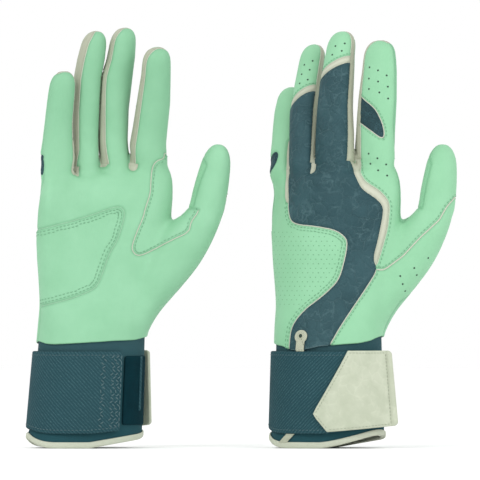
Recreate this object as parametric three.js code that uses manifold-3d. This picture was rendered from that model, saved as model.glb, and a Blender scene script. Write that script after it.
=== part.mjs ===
// A pair of batting gloves, standing on their cuffs as if worn. The left-hand glove shows its back
// and the right-hand glove, its mirror image, shows its palm. Each is sewn from leather panels over
// a neoprene cuff that an elastic strap closes.
//
// Every glove is built in its own hand frame: +X towards the thumb, +Y out of the palm and +Z along
// the fingers, with Z zero at the lowest point of the cuff. Lengths are in millimetres.
import * as THREE from "three";
import { mergeVertices } from "three/addons/utils/BufferGeometryUtils.js";
import Module from "manifold-3d";

const wasm = await Module();
wasm.setup();

// Stock and clearances
const LEATHER = 1.2;
const PATCH = 1.0;
const SEAM_GAP = 0.3;
const LAP_CLEARANCE = 0.5;
const OVERRUN = 400;

// Cuff: a neoprene sleeve with a curved lower rim, its binding and its tapes
const SLEEVE_WIDTH_LOW = 72;
const SLEEVE_WIDTH_HIGH = 67.5;
const SLEEVE_DEPTH_LOW = 52;
const SLEEVE_DEPTH_HIGH = 49;
const SLEEVE_HEIGHT = 76;
const SLEEVE_WALL = 2.2;
const RIM_RISE_ULNAR = 7;
const RIM_RISE_RADIAL = 10;
const RIM_FLAT = 0.8;
const BINDING_HEIGHT = 4;
const BINDING_WALL = 1;
const TAPE_WIDTH = 5.5;
const TAPE_THICKNESS = 1;
const TAPE_X_LOW = -17.7;
const TAPE_X_HIGH = -11.4;
const EYELET_RADIUS = 4;
const EYELET_HOLE = 1.1;

// Strap, its pull tab and the two halves of its hook and loop
const STRAP_HEIGHT = 52.7;
const STRAP_LOW = 9.3;
const STRAP_THICKNESS = 1.8;
const STRAP_START_DEGREES = 62;
const STRAP_END_DEGREES = 300;
const TAB_THICKNESS = 1.6;
const TAB_HEIGHT = 52;
const TAB_LOW = 10.5;
const TAB_LENGTH = 55;
const TAB_END_SLANT = 4.3;
const TAB_APEX_HEIGHT = 11;
const TAB_TOP_SETBACK = 23;
const TAB_LOW_SETBACK = 9;
const TAB_LOW_RISE = 4;
const TAB_APEX_BLUNT = 1;
const TAB_APEX_DEGREES = 266;
const TAB_CLEARANCE = 0.5;
const HOOK_LENGTH = 17;
const HOOK_HEIGHT = 40;
const HOOK_THICKNESS = 1.2;
const HOOK_MARGIN = 5.5;
const LOOP_PATCH_HEIGHT = 44;
const LOOP_PATCH_LOW = 15;
const LOOP_PATCH_THICKNESS = 1;
const LOOP_PATCH_START_DEGREES = 14;
const LOOP_PATCH_END_DEGREES = 57;

// Hand: from the hem of the leather to the crotches of the fingers
const HEM_HEIGHT = 67.5;
const HEM_RISE = 5;
const CROTCH_HEIGHT = 177.5;
const KNUCKLE_RISE = 8;
const PALM_WIDTH = 87;
const WRIST_WIDTH = 71;
const PALM_SHIFT = 2.7;
const WRIST_DEPTH = 47;
const PALM_DEPTH = 35;
const KNUCKLE_DEPTH = 24;
const ARCH_ULNAR = 13;
const ARCH_RADIAL = 3;

// Digits: the girth of a stall is the same in both gloves, and its pose says how flat it lies. It is
// a share of the palm's width, which it goes with.
const ROOT_ABOVE_CROTCH = 4;
const PINKY_ROOT_DROP = 4;
const STUB_LENGTH = 30;
const WALL_STRIP = 8;
const WALL_STRIP_TIP = 3;
const FINGER_TAPER_SHARE = 0.17;
const THUMB_TAPER_SHARE = 0.36;
const CURL = 5;
const GIRTH_SHARES = { index: 0.7126, middle: 0.7011, ring: 0.6552, pinky: 0.6207, thumb: 0.8046 };
const DIGIT_LENGTH = { index: 78, middle: 88, ring: 87.5, pinky: 67, thumb: 43 };
const CAP_LENGTH = { middle: 28, ring: 42 };
const CAP_SLANT = 11;
const STALL_CLEARANCE = 3;

// Thumb: its base leaves the wrist and passes the root beside the palm. Across the hand its places
// are shares of the palm's width.
const THUMB_ROOT_SHARE = 0.776;
const THUMB_ROOT_DEPTH = 12;
const THUMB_ROOT_HEIGHT = 152;
const THUMB_HEEL_SHARE = 0.218;
const THUMB_HEEL_DEPTH = 3;
const THUMB_HEEL_HEIGHT = 72;
const THUMB_ROOT = new THREE.Vector3(PALM_WIDTH * THUMB_ROOT_SHARE, THUMB_ROOT_DEPTH, THUMB_ROOT_HEIGHT);
const THUMB_HEEL = new THREE.Vector3(PALM_WIDTH * THUMB_HEEL_SHARE, THUMB_HEEL_DEPTH, THUMB_HEEL_HEIGHT);

// The pair as it stands: each glove has a turn about the vertical, a lean of its own, a turn that
// its fingers flex along, and a length that its tab follows the wrist for before it runs straight.
const GLOVE_SPACING = 156;
const MIRROR = { left: 1, right: -1 };
const YAW_DEGREES = { left: 14, right: 6 };
const LEAN_DEGREES = { left: 0, right: 3.4 };
const FLEX_TURN_DEGREES = { left: 20, right: 12 };
const THUMB_TURN_DEGREES = { left: -25, right: -15 };
const LEFT_TAB_WRAP = 33;
const RIGHT_TAB_WRAP = 43;
const TAB_WRAP = { left: LEFT_TAB_WRAP, right: RIGHT_TAB_WRAP };

// Each finger's root across the hand, as a share of half the palm's width
const ROOT_SHARES = {
  left: { index: 0.713, middle: 0.094, ring: -0.386, pinky: -0.772 },
  right: { index: 0.763, middle: 0.267, ring: -0.175, pinky: -0.653 },
};

// Each stall's width at its root, as a share of the width that its girth has when round
const ROUND_SHARES = {
  left: { index: 1.1147, middle: 1.1124, ring: 1.0803, pinky: 1.0239, thumb: 1.0547 },
  right: { index: 1.0033, middle: 0.9682, ring: 0.948, pinky: 1.1345, thumb: 1.0322 },
};

// Each digit's lean towards the thumb and dip towards the palm
const DIGIT_LEAN_DEGREES = {
  left: { index: 0.5, middle: -6.2, ring: -12, pinky: -15, thumb: 8.5 },
  right: { index: -6.2, middle: -3.6, ring: -2.6, pinky: -2, thumb: 9.5 },
};
const DIGIT_DIP_DEGREES = {
  left: { index: 3, middle: 12, ring: 22, pinky: 26, thumb: 0 },
  right: { index: 16, middle: 3, ring: 3, pinky: 3, thumb: 0 },
};

// Facets
const FACET_TOLERANCE = 0.09;
const MERGE = 0.0001;
const WELD = 0.01;
const AROUND_HAND = 26;
const AROUND_FINGER = 14;
const AROUND_CUFF = 30;
const AROUND_EYELET = 16;
const STRAP_STEPS = 22;
const LOOP_PATCH_STEPS = 6;
const TAB_STEPS = 8;
const CAP_STEPS = 6;
const HOOK_STEPS = 4;
const TAB_STEP_DEGREES = 3;

const MINT = 0x9be0b0;
const TEAL = 0x3c5f68;
const CREAM = 0xd8dfc8;
const DARK_PILE = 0x14363d;

// How square each section is: 2 is an ellipse.
const HAND_SQUARENESS = 2.3;
const FINGER_SQUARENESS = 2.1;
const CUFF_SQUARENESS = 2.15;

const degrees = THREE.MathUtils.degToRad;
const lerp = THREE.MathUtils.lerp;
const smooth = (share) => THREE.MathUtils.smoothstep(share, 0, 1);

// Where the middle of the back lies round the cuff, counted from the thumb's side over the palm.
const BACK_ANGLE = degrees(270);

// Solids and meshes

function solid(geometry) {
  const bare = new THREE.BufferGeometry();
  const source = geometry.index ? geometry.toNonIndexed() : geometry;
  bare.setAttribute("position", source.getAttribute("position"));
  const merged = mergeVertices(bare, MERGE);
  return new wasm.Manifold(
    new wasm.Mesh({
      numProp: 3,
      vertProperties: merged.attributes.position.array,
      triVerts: new Uint32Array(merged.index.array),
    }),
  );
}

// How much of its facing a face keeps when one of its points is pulled.
const FACET_TURN_SHARE = 0.8;

// A cut leaves points that its surface doesn't need. Each is pulled onto a neighbour where every face
// round it stays within FACET_TOLERANCE of its place.
function tidied(positions, triangles) {
  const point = (i) => new THREE.Vector3().fromArray(positions, 3 * i);
  const around = new Map();
  triangles.forEach((corners, t) => {
    for (const v of corners) {
      if (!around.has(v)) around.set(v, new Set());
      around.get(v).add(t);
    }
  });
  const neighbours = (v) => {
    const found = new Set([...around.get(v)].flatMap((t) => triangles[t]));
    found.delete(v);
    return found;
  };
  const facing = (corners) => {
    const [a, b, c] = corners.map(point);
    return b.sub(a).cross(c.sub(a));
  };
  const canPull = (v, onto, ring) => {
    const shared = [...neighbours(onto)].filter((w) => ring.has(w));
    if (shared.length !== 2) return false;
    const move = point(onto).sub(point(v));
    if (move.length() < FACET_TOLERANCE / 2) return true;
    for (const t of around.get(v)) {
      const before = facing(triangles[t]);
      const longest = Math.sqrt(before.length());
      const sliver = before.length() < FACET_TOLERANCE * longest;
      if (!sliver && Math.abs(before.clone().normalize().dot(move)) > FACET_TOLERANCE) return false;
      if (triangles[t].includes(onto)) continue;
      const after = facing(triangles[t].map((w) => (w === v ? onto : w)));
      if (after.length() < FACET_TOLERANCE ** 2) return false;
      if (!sliver && after.normalize().dot(before.normalize()) < FACET_TURN_SHARE) return false;
    }
    return true;
  };
  let pulled = true;
  while (pulled) {
    pulled = false;
    for (const v of [...around.keys()]) {
      const ring = neighbours(v);
      const away = (w) => point(w).distanceTo(point(v));
      const nearestFirst = [...ring].sort((a, b) => away(a) - away(b));
      const onto = nearestFirst.find((w) => canPull(v, w, ring));
      if (onto === undefined) continue;
      for (const t of around.get(v)) {
        if (triangles[t].includes(onto)) {
          for (const w of triangles[t]) if (w !== v) around.get(w).delete(t);
          triangles[t] = null;
        } else {
          triangles[t] = triangles[t].map((w) => (w === v ? onto : w));
          around.get(onto).add(t);
        }
      }
      around.delete(v);
      pulled = true;
    }
  }
  return triangles.filter((corners) => corners !== null);
}

function trianglesOf(manifold) {
  const mesh = manifold.getMesh();
  const triangles = [];
  for (let i = 0; i < mesh.triVerts.length; i += 3) {
    triangles.push([...mesh.triVerts.slice(i, i + 3)]);
  }
  return { positions: Float32Array.from(mesh.vertProperties), triangles };
}

// Points closer than a weld become one, so that no face is thinner than that.
function welded(positions) {
  const count = positions.length / 3;
  for (let i = 0; i < count; i++) {
    for (let j = 0; j < i; j++) {
      const away = Math.hypot(...[0, 1, 2].map((k) => positions[3 * i + k] - positions[3 * j + k]));
      if (away > WELD) continue;
      for (const k of [0, 1, 2]) positions[3 * i + k] = positions[3 * j + k];
      break;
    }
  }
  return positions;
}

function geometryOf(manifold) {
  const { positions, triangles } = trianglesOf(manifold);
  const geometry = new THREE.BufferGeometry();
  geometry.setAttribute("position", new THREE.BufferAttribute(positions, 3));
  geometry.setIndex(tidied(positions, triangles).flat());
  geometry.setAttribute("position", new THREE.BufferAttribute(welded(positions), 3));
  const clean = trianglesOf(largest(solid(geometry)));
  const result = new THREE.BufferGeometry();
  result.setAttribute("position", new THREE.BufferAttribute(clean.positions, 3));
  result.setIndex(clean.triangles.flat());
  return result;
}

function union(solids) {
  return solids.reduce((whole, next) => whole.add(next));
}

// The largest of a solid's separate bodies, without the slivers that a cut can leave.
function largest(manifold) {
  const bodies = manifold.decompose();
  bodies.sort((a, b) => b.volume() - a.volume());
  return bodies[0];
}

// The triangles of a flat ring, seen so that it runs counter-clockwise.
function flatFaces(ring) {
  const normal = new THREE.Vector3();
  ring.forEach((point, i) => normal.add(point.clone().cross(ring[(i + 1) % ring.length])));
  const up = new THREE.Vector3(0, 0, 1);
  const upright = new THREE.Quaternion().setFromUnitVectors(normal.normalize(), up);
  const flat = ring.map((point) => point.clone().applyQuaternion(upright));
  return THREE.ShapeUtils.triangulateShape(flat.map((point) => new THREE.Vector2(point.x, point.y)), []);
}

// A closed skin over rings that all have the same number of points, counter-clockwise seen from the
// last ring.
function loft(rings, closedLoop = false) {
  const count = rings[0].length;
  const position = rings.flat().flatMap((p) => [p.x, p.y, p.z]);
  const faces = [];
  const spans = closedLoop ? rings.length : rings.length - 1;
  for (let r = 0; r < spans; r++) {
    const low = r * count;
    const high = ((r + 1) % rings.length) * count;
    for (let i = 0; i < count; i++) {
      const j = (i + 1) % count;
      faces.push(low + i, low + j, high + j, low + i, high + j, high + i);
    }
  }
  if (!closedLoop) {
    const last = (rings.length - 1) * count;
    for (const [a, b, c] of flatFaces(rings[0])) faces.push(a, c, b);
    for (const [a, b, c] of flatFaces(rings.at(-1))) faces.push(last + a, last + b, last + c);
  }
  const geometry = new THREE.BufferGeometry();
  geometry.setAttribute("position", new THREE.Float32BufferAttribute(position, 3));
  geometry.setIndex(faces);
  return geometry;
}

// A point of a squared-off ellipse with the given half sizes.
function superellipse(angle, halfWidth, halfDepth, squareness) {
  const c = Math.cos(angle);
  const s = Math.sin(angle);
  const power = 2 / squareness;
  return [
    halfWidth * Math.sign(c) * Math.abs(c) ** power,
    halfDepth * Math.sign(s) * Math.abs(s) ** power,
  ];
}

function boxAt(matrix, lowCorner, highCorner) {
  const size = new THREE.Vector3().subVectors(highCorner, lowCorner);
  const geometry = new THREE.BoxGeometry(size.x, size.y, size.z);
  geometry.translate(...new THREE.Vector3().addVectors(highCorner, lowCorner).divideScalar(2));
  geometry.applyMatrix4(matrix);
  return solid(geometry);
}

// An outline in X and Z, extruded through the whole hand along Y.
function prism(points) {
  const shape = new THREE.Shape(points.map(([x, z]) => new THREE.Vector2(x, z)));
  const geometry = new THREE.ExtrudeGeometry(shape, { depth: 2 * OVERRUN, bevelEnabled: false });
  geometry.rotateX(Math.PI / 2);
  geometry.translate(0, OVERRUN, 0);
  return solid(geometry);
}

// A sharp corner moves out no further than this share of a mitre allows.
const MITRE_SHARE = 0.4;

// The outline moved outwards by a distance, corner by corner.
function grow(points, distance) {
  const area = THREE.ShapeUtils.area(points.map(([x, z]) => new THREE.Vector2(x, z)));
  const turn = area > 0 ? 1 : -1;
  return points.map(([x, z], i) => {
    const [px, pz] = points[(i + points.length - 1) % points.length];
    const [nx, nz] = points[(i + 1) % points.length];
    const before = new THREE.Vector2(x - px, z - pz).normalize();
    const after = new THREE.Vector2(nx - x, nz - z).normalize();
    const normal = new THREE.Vector2(before.y + after.y, -before.x - after.x).normalize();
    const cosine = Math.max(normal.dot(new THREE.Vector2(before.y, -before.x)), MITRE_SHARE);
    return [x + (turn * normal.x * distance) / cosine, z + (turn * normal.y * distance) / cosine];
  });
}

// The arch has its named drop at this share of half the palm's width, and levels out past it.
const ARCH_REACH_SHARE = 0.74;
const ARCH_LIMIT_SHARE = 1.2;

// How far the hand's arch carries a place towards the palm.
function arch(x) {
  const reach = (PALM_WIDTH / 2) * ARCH_REACH_SHARE;
  const drop = x < 0 ? ARCH_ULNAR : ARCH_RADIAL;
  return drop * Math.min(ARCH_LIMIT_SHARE, (x / reach) ** 2);
}

// Shares that shape the digits' bases

// How far a stub's lower end narrows, as a share of its stall's full width.
const STUB_SHARE = 0.3;
// Each ring of the thumb's base: share of the way from heel to root, then width and depth shares.
const THUMB_BASE_SHARES = [
  [0, 1.28, 1.33],
  [0.25, 1.06, 1.33],
  [0.45, 1.28, 1.38],
  [0.65, 1.45, 1.33],
  [0.85, 1.3, 1.19],
];

// Hand

// Up to this share of its height the hand laps the sleeve, and by the next it has moved over.
const LAP_SHARE = 0.08;
const SHIFTED_SHARE = 0.4;
// How fast the knuckles' edge closes past their full depth.
const CLOSING_SHARE = 0.75;
// Each ring: height share from hem to crotch, width share from wrist to palm, depth, arch share.
const HAND_RING_SHARES = [
  [-0.12, 0, 1.0, 0],
  [0.08, 0, 1.0, 0],
  [0.2, 0.12, 0.74, 0.15],
  [0.36, 0.52, 0.34, 0.35],
  [0.55, 0.86, 0.05, 0.6],
  [0.72, 1.0, -0.3, 0.8],
  [0.86, 0.94, -0.66, 1],
  [0.94, 0.8, -0.95, 1],
  [0.98, 0.55, -1.3, 1],
  [1.0, 0.2, -1.7, 1],
];

// Depth at a share: 1 is the wrist, 0 the palm and -1 the knuckles, and past that the closing edge.
function handDepth(share) {
  if (share >= 0) return lerp(PALM_DEPTH, WRIST_DEPTH, share);
  if (share >= -1) return lerp(PALM_DEPTH, KNUCKLE_DEPTH, -share);
  return KNUCKLE_DEPTH * Math.sqrt(Math.max(0, 1 - ((-share - 1) / CLOSING_SHARE) ** 2));
}

function handSolid(offset) {
  const rings = HAND_RING_SHARES.map(([height, widthShare, depthShare, archShare]) => {
    const z = lerp(HEM_HEIGHT, CROTCH_HEIGHT, height);
    const halfWidth = lerp(WRIST_WIDTH, PALM_WIDTH, widthShare) / 2 + offset;
    const halfDepth = handDepth(depthShare) / 2 + offset;
    const shift = PALM_SHIFT * smooth(height / SHIFTED_SHARE);
    const ring = [];
    for (let i = 0; i < AROUND_HAND; i++) {
      const angle = (i / AROUND_HAND) * 2 * Math.PI;
      if (height <= LAP_SHARE) {
        ring.push(onSleeve(angle, z, LAP_CLEARANCE + LEATHER + offset));
        continue;
      }
      const [px, py] = superellipse(angle, halfWidth, halfDepth, HAND_SQUARENESS);
      const x = px + shift;
      const tilt = KNUCKLE_RISE * (x / PALM_WIDTH) * smooth(height);
      const above = height >= 1 ? offset : 0;
      ring.push(new THREE.Vector3(x, py + arch(x) * archShare, z + tilt + above));
    }
    return ring;
  });
  return solid(loft(rings));
}

// Digits

const DIGIT_NAMES = ["index", "middle", "ring", "pinky", "thumb"];
// A stall's end is rounded over this share of its width.
const TIP_ROUND_SHARE = 0.6;
// The rings of a stall: shares of its straight part, then turns of its round end in degrees.
const STRAIGHT_SHARES = [0, 0.3, 0.62, 1];
const ROUND_DEGREES = [28, 52, 70, 83];
// A finger's root stands a little above the crotches, on the arch of the knuckles.
function fingerRoot(side, name) {
  const across = (ROOT_SHARES[side][name] * PALM_WIDTH) / 2;
  const drop = name === "pinky" ? PINKY_ROOT_DROP : 0;
  const height = CROTCH_HEIGHT + KNUCKLE_RISE * (across / PALM_WIDTH) + ROOT_ABOVE_CROTCH - drop;
  return new THREE.Vector3(across, arch(across), height);
}

function digitOf(side, name) {
  const girth = PALM_WIDTH * GIRTH_SHARES[name];
  const length = DIGIT_LENGTH[name];
  const width = (girth / Math.PI) * ROUND_SHARES[side][name];
  // An ellipse of this girth and width has about this depth.
  const depth = Math.sqrt(2 * (girth / Math.PI) ** 2 - width ** 2);
  const lean = DIGIT_LEAN_DEGREES[side][name];
  const dip = DIGIT_DIP_DEGREES[side][name];
  const turn = name === "thumb" ? THUMB_TURN_DEGREES[side] : FLEX_TURN_DEGREES[side];
  const taper = name === "thumb" ? THUMB_TAPER_SHARE : FINGER_TAPER_SHARE;
  const root = name === "thumb" ? THUMB_ROOT.clone() : fingerRoot(side, name);
  const upright = new THREE.Matrix4()
    .makeTranslation(...root)
    .multiply(new THREE.Matrix4().makeRotationZ(-degrees(turn)))
    .multiply(new THREE.Matrix4().makeRotationY(degrees(lean)));
  const place = upright.clone().multiply(new THREE.Matrix4().makeRotationX(-degrees(dip)));
  return { name, width, depth, length, taper, root, upright, place, lean: degrees(lean) };
}

const bendAt = (digit, height) => CURL * Math.max(0, height / digit.length) ** 2;

// One ring of a stall, at a height above its root, in the stall's own frame.
function stallRing(digit, height, halfWidth, halfDepth) {
  const ring = [];
  for (let i = 0; i < AROUND_FINGER; i++) {
    const angle = ((i + 0.5) / AROUND_FINGER) * 2 * Math.PI;
    const [x, y] = superellipse(angle, halfWidth, halfDepth, FINGER_SQUARENESS);
    ring.push(new THREE.Vector3(x, y + bendAt(digit, height), height));
  }
  return ring;
}

function stallRings(digit, offset) {
  const tipRadius = digit.width * TIP_ROUND_SHARE + offset;
  const tipStart = digit.length + offset - tipRadius;
  const ringAt = (height, close) => {
    const share = (1 - digit.taper * Math.max(0, height / digit.length) ** 2) * close;
    const halfWidth = (digit.width / 2) * share + offset * close;
    const halfDepth = (digit.depth / 2) * share + offset * close;
    return stallRing(digit, height, halfWidth, halfDepth);
  };
  const straight = STRAIGHT_SHARES.map((share) => ringAt(tipStart * share, 1));
  const round = ROUND_DEGREES.map((turn) => {
    const angle = degrees(turn);
    return ringAt(tipStart + tipRadius * Math.sin(angle), Math.cos(angle));
  });
  return [...straight, ...round].map((ring) => ring.map((point) => point.applyMatrix4(digit.place)));
}

// The stub that carries a finger's stall narrows into the hand.
function fingerStub(digit, offset) {
  const halfWidth = digit.width * STUB_SHARE + offset;
  const halfDepth = digit.depth * STUB_SHARE + offset;
  const ring = stallRing(digit, -STUB_LENGTH, halfWidth, halfDepth);
  return [ring.map((point) => point.applyMatrix4(digit.upright))];
}

// The thumb's base swells between the heel of the hand and the thumb's root.
function thumbBase(digit, offset) {
  const run = new THREE.Vector3().subVectors(THUMB_ROOT, THUMB_HEEL);
  const runLean = Math.atan2(run.x, run.z);
  return THUMB_BASE_SHARES.map(([along, widthShare, depthShare]) => {
    const lean = lerp(runLean, digit.lean, along ** 2);
    const place = new THREE.Matrix4()
      .makeTranslation(...THUMB_HEEL.clone().addScaledVector(run, along))
      .multiply(new THREE.Matrix4().makeRotationY(lean));
    const halfWidth = (digit.width / 2) * widthShare + offset;
    const halfDepth = (digit.depth / 2) * depthShare + offset;
    return stallRing(digit, 0, halfWidth, halfDepth).map((point) => point.applyMatrix4(place));
  });
}

function digitSolid(digit, offset) {
  const base = digit.name === "thumb" ? thumbBase(digit, offset) : fingerStub(digit, offset);
  return solid(loft([...base, ...stallRings(digit, offset)]));
}

// The space beyond a digit's root, where its moving stall lies.
function beyondRoot(digit, height) {
  const low = new THREE.Vector3(-OVERRUN, -OVERRUN, height);
  const high = new THREE.Vector3(OVERRUN, OVERRUN, OVERRUN);
  return boxAt(digit.place, low, high);
}

// The hand with the short stubs that the stalls grow from.
function bodySolid(digits, offset, stubTop) {
  const stubs = digits.map((digit) => digitSolid(digit, offset).subtract(beyondRoot(digit, stubTop)));
  return union([handSolid(offset), ...stubs]);
}

function cavity(digits) {
  return union([handSolid(-LEATHER), ...digits.map((digit) => digitSolid(digit, -LEATHER))]);
}

function handShell(digits, inner) {
  let shell = bodySolid(digits, 0, -SEAM_GAP / 2).subtract(inner);
  for (const digit of digits) {
    shell = shell.subtract(digitSolid(digit, SEAM_GAP).intersect(beyondRoot(digit, -SEAM_GAP / 2)));
  }
  const hem = [
    [-OVERRUN, -OVERRUN],
    [OVERRUN, -OVERRUN],
    [OVERRUN, hemHeight(OVERRUN)],
    [-OVERRUN, hemHeight(-OVERRUN)],
  ];
  return shell.subtract(prism(hem));
}

const hemHeight = (x) => HEM_HEIGHT + HEM_RISE * (x / SLEEVE_WIDTH_HIGH);

// Panels of the hand

// The back's side of the hand's side seams, which follow the arch and wrap round the thumb's outer edge.
function backSide(digits, shift) {
  const thumb = digits.find((digit) => digit.name === "thumb");
  const ringAt = (z, ulnarY, radialY, thumbY) => {
    const edge = PALM_WIDTH / 2 + PALM_SHIFT;
    return [
      [-OVERRUN, -OVERRUN],
      [OVERRUN, -OVERRUN],
      [OVERRUN, thumbY],
      [edge + thumb.width / 3, thumbY],
      [edge, radialY],
      [-edge, ulnarY],
      [-OVERRUN, ulnarY],
    ].map(([x, y]) => new THREE.Vector3(x, y + shift, z));
  };
  return solid(
    loft([
      ringAt(0, 0, 0, THUMB_HEEL.y),
      ringAt(CROTCH_HEIGHT, ARCH_ULNAR, ARCH_RADIAL, THUMB_ROOT.y + thumb.depth / 4),
      ringAt(OVERRUN, ARCH_ULNAR, ARCH_RADIAL, THUMB_ROOT.y + thumb.depth / 4),
    ]),
  );
}

// Where an outline point lies: shares of the half palm's width and of the height from hem to crotch.
function onHand(shares) {
  return shares.map(([across, up]) => [
    PALM_SHIFT + (across * PALM_WIDTH) / 2,
    lerp(HEM_HEIGHT, CROTCH_HEIGHT, up),
  ]);
}

// The textured panel: two fingers wide at the knuckles, then an S down to the hem.
const OVERLAY_SHARES = [
  [-0.62, 1.5], [-0.62, 0.74], [-0.58, 0.705], [-0.22, 0.69], [0.12, 0.665], [0.26, 0.63], [0.3, 0.55],
  [0.22, 0.41], [0.14, 0.35], [-0.04, 0.28], [-0.34, 0.19], [-0.5, 0.1], [-0.56, -0.2], [0.0, -0.2],
  [0.05, 0.0], [0.34, 0.17], [0.6, 0.325], [0.74, 0.44], [0.68, 0.5], [0.74, 0.61], [0.83, 0.76],
  [0.79, 0.83], [0.68, 0.87], [0.47, 0.94], [0.36, 1.02], [0.36, 1.5],
];
// The seam from the textured panel to the outer edge of the thumb.
const THUMB_SEAM_SHARES = [
  [0.62, 0.4], [0.84, 0.46], [1.05, 0.55], [1.3, 0.66], [1.62, 0.77], [1.85, 0.86], [2.6, 1.1],
];
const HEEL_PATCH_SHARES = [
  [-1.4, 0.65], [-1.4, 0.19], [-0.81, 0.22], [-0.44, 0.26], [-0.12, 0.31], [-0.03, 0.357], [0.2, 0.61],
  [0.29, 0.766], [0.24, 0.805], [0.13, 0.81], [-0.36, 0.735], [-0.93, 0.675],
];
const WEB_PATCH_SHARES = [
  [1.5, 1.1], [0.705, 1.1], [0.64, 1.04], [0.64, 0.885], [0.58, 0.81], [0.485, 0.673], [0.4, 0.557],
  [0.46, 0.515], [0.62, 0.527], [0.98, 0.61], [1.25, 0.656], [1.27, 0.735], [1.4, 0.8],
];

function handPanels(digits, inner) {
  const shell = handShell(digits, inner);
  const palm = shell.subtract(backSide(digits, SEAM_GAP / 2));
  const back = shell.intersect(backSide(digits, -SEAM_GAP / 2));
  const overlayOutline = onHand(OVERLAY_SHARES);
  const overlay = back.intersect(prism(overlayOutline));
  const beside = back.subtract(prism(grow(overlayOutline, SEAM_GAP)));
  const bodies = beside.decompose().sort((a, b) => b.volume() - a.volume());
  const middleX = (body) => (body.boundingBox().min[0] + body.boundingBox().max[0]) / 2;
  const ulnar = bodies.find((body) => middleX(body) < PALM_SHIFT);
  const radialSide = bodies.find((body) => middleX(body) > PALM_SHIFT);
  const seam = onHand(THUMB_SEAM_SHARES);
  const above = [
    ...seam,
    [OVERRUN, seam.at(-1)[1]],
    [OVERRUN, OVERRUN],
    [-OVERRUN, OVERRUN],
    [-OVERRUN, seam[0][1]],
  ];
  const web = largest(radialSide.intersect(prism(above)));
  const radial = largest(radialSide.subtract(prism(grow(above, SEAM_GAP))));
  return {
    palm_leather: largest(palm),
    knuckle_overlay: largest(overlay),
    ulnar_panel: ulnar,
    web_panel: web,
    radial_panel: radial,
  };
}

// Patches sewn on the outside of the palm leather.
function palmPatches(digits) {
  const outside = bodySolid(digits, SEAM_GAP + PATCH, -SEAM_GAP).subtract(bodySolid(digits, SEAM_GAP, 0));
  const front = outside.subtract(backSide(digits, LEATHER));
  const clear = digits.reduce(
    (left, digit) => {
      const stall = digitSolid(digit, STALL_CLEARANCE);
      return left.subtract(beyondRoot(digit, -SEAM_GAP).intersect(stall));
    },
    front,
  );
  return {
    heel_patch: largest(clear.intersect(prism(onHand(HEEL_PATCH_SHARES)))),
    web_patch: largest(clear.intersect(prism(onHand(WEB_PATCH_SHARES)))),
  };
}

// Panels of the stalls

// The sections of a slab along a digit, as shares of its length.
const SLAB_SHARES = [-1, 0, 0.25, 0.5, 0.75, 1, 1.3];

// A slab across a digit between two depths, bent as the digit is. Each depth is given at the root and
// at the tip.
function slab(digit, [lowX, highX], lowDepth, highDepth) {
  const rings = [];
  for (const share of SLAB_SHARES) {
    const height = share * digit.length;
    const middle = bendAt(digit, height);
    const along = THREE.MathUtils.clamp(share, 0, 1);
    const low = middle + lerp(lowDepth[0], lowDepth[1], along);
    const high = middle + lerp(highDepth[0], highDepth[1], along);
    const corners = [[lowX, low], [highX, low], [highX, high], [lowX, high]];
    rings.push(corners.map(([x, y]) => new THREE.Vector3(x, y, height).applyMatrix4(digit.place)));
  }
  return solid(loft(rings));
}

// The strip between the front and the back: round both sides and the tip, or one side and the tip.
function wallZone(digit, shrink) {
  const root = WALL_STRIP / 2 - shrink;
  const tip = WALL_STRIP_TIP / 2 - shrink;
  const inner = digit.width / 4 - shrink;
  const across = [digit.name === "pinky" ? -inner : -OVERRUN, digit.name === "index" ? inner : OVERRUN];
  return slab(digit, across, [-root, -tip], [root, tip]);
}

function halfZone(digit, side, gap) {
  const all = [-OVERRUN, OVERRUN];
  return side > 0
    ? slab(digit, all, [gap, gap], [OVERRUN, OVERRUN])
    : slab(digit, all, [-OVERRUN, -OVERRUN], [-gap, -gap]);
}

// The end of a finger's back beyond the slanting arc where the textured panel stops.
function capZone(digit, raise) {
  const low = digit.length - CAP_LENGTH[digit.name] + raise;
  const reach = digit.width;
  const shape = new THREE.Shape();
  shape.moveTo(-reach, low - CAP_SLANT);
  shape.quadraticCurveTo(-reach / 4, low + CAP_SLANT / 2, reach, low + CAP_SLANT);
  shape.lineTo(reach, OVERRUN);
  shape.lineTo(-reach, OVERRUN);
  shape.closePath();
  const settings = { depth: 2 * OVERRUN, bevelEnabled: false, curveSegments: CAP_STEPS };
  const geometry = new THREE.ExtrudeGeometry(shape, settings);
  geometry.rotateX(Math.PI / 2);
  geometry.translate(0, OVERRUN, 0);
  return solid(geometry.applyMatrix4(digit.place));
}

function stallPanels(digit, inner) {
  const { name } = digit;
  const shell = digitSolid(digit, 0).subtract(inner).intersect(beyondRoot(digit, SEAM_GAP / 2));
  const halfGap = SEAM_GAP / 2;
  if (name === "thumb") {
    return {
      thumb_front: largest(shell.intersect(halfZone(digit, 1, halfGap))),
      thumb_back: largest(shell.intersect(halfZone(digit, -1, halfGap))),
    };
  }
  const strip = wallZone(digit, 0);
  const panels = {
    [`${name}_front`]: largest(shell.intersect(halfZone(digit, 1, halfGap)).subtract(strip)),
    [`${name}_wall`]: largest(shell.intersect(wallZone(digit, SEAM_GAP))),
  };
  const back = shell.intersect(halfZone(digit, -1, halfGap)).subtract(strip);
  if (CAP_LENGTH[name] === undefined) {
    panels[`${name}_back`] = largest(back);
  } else {
    panels[`${name}_back`] = largest(back.subtract(capZone(digit, 0)));
    panels[`${name}_cap`] = largest(back.intersect(capZone(digit, SEAM_GAP)));
  }
  return panels;
}

// Cuff

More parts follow.
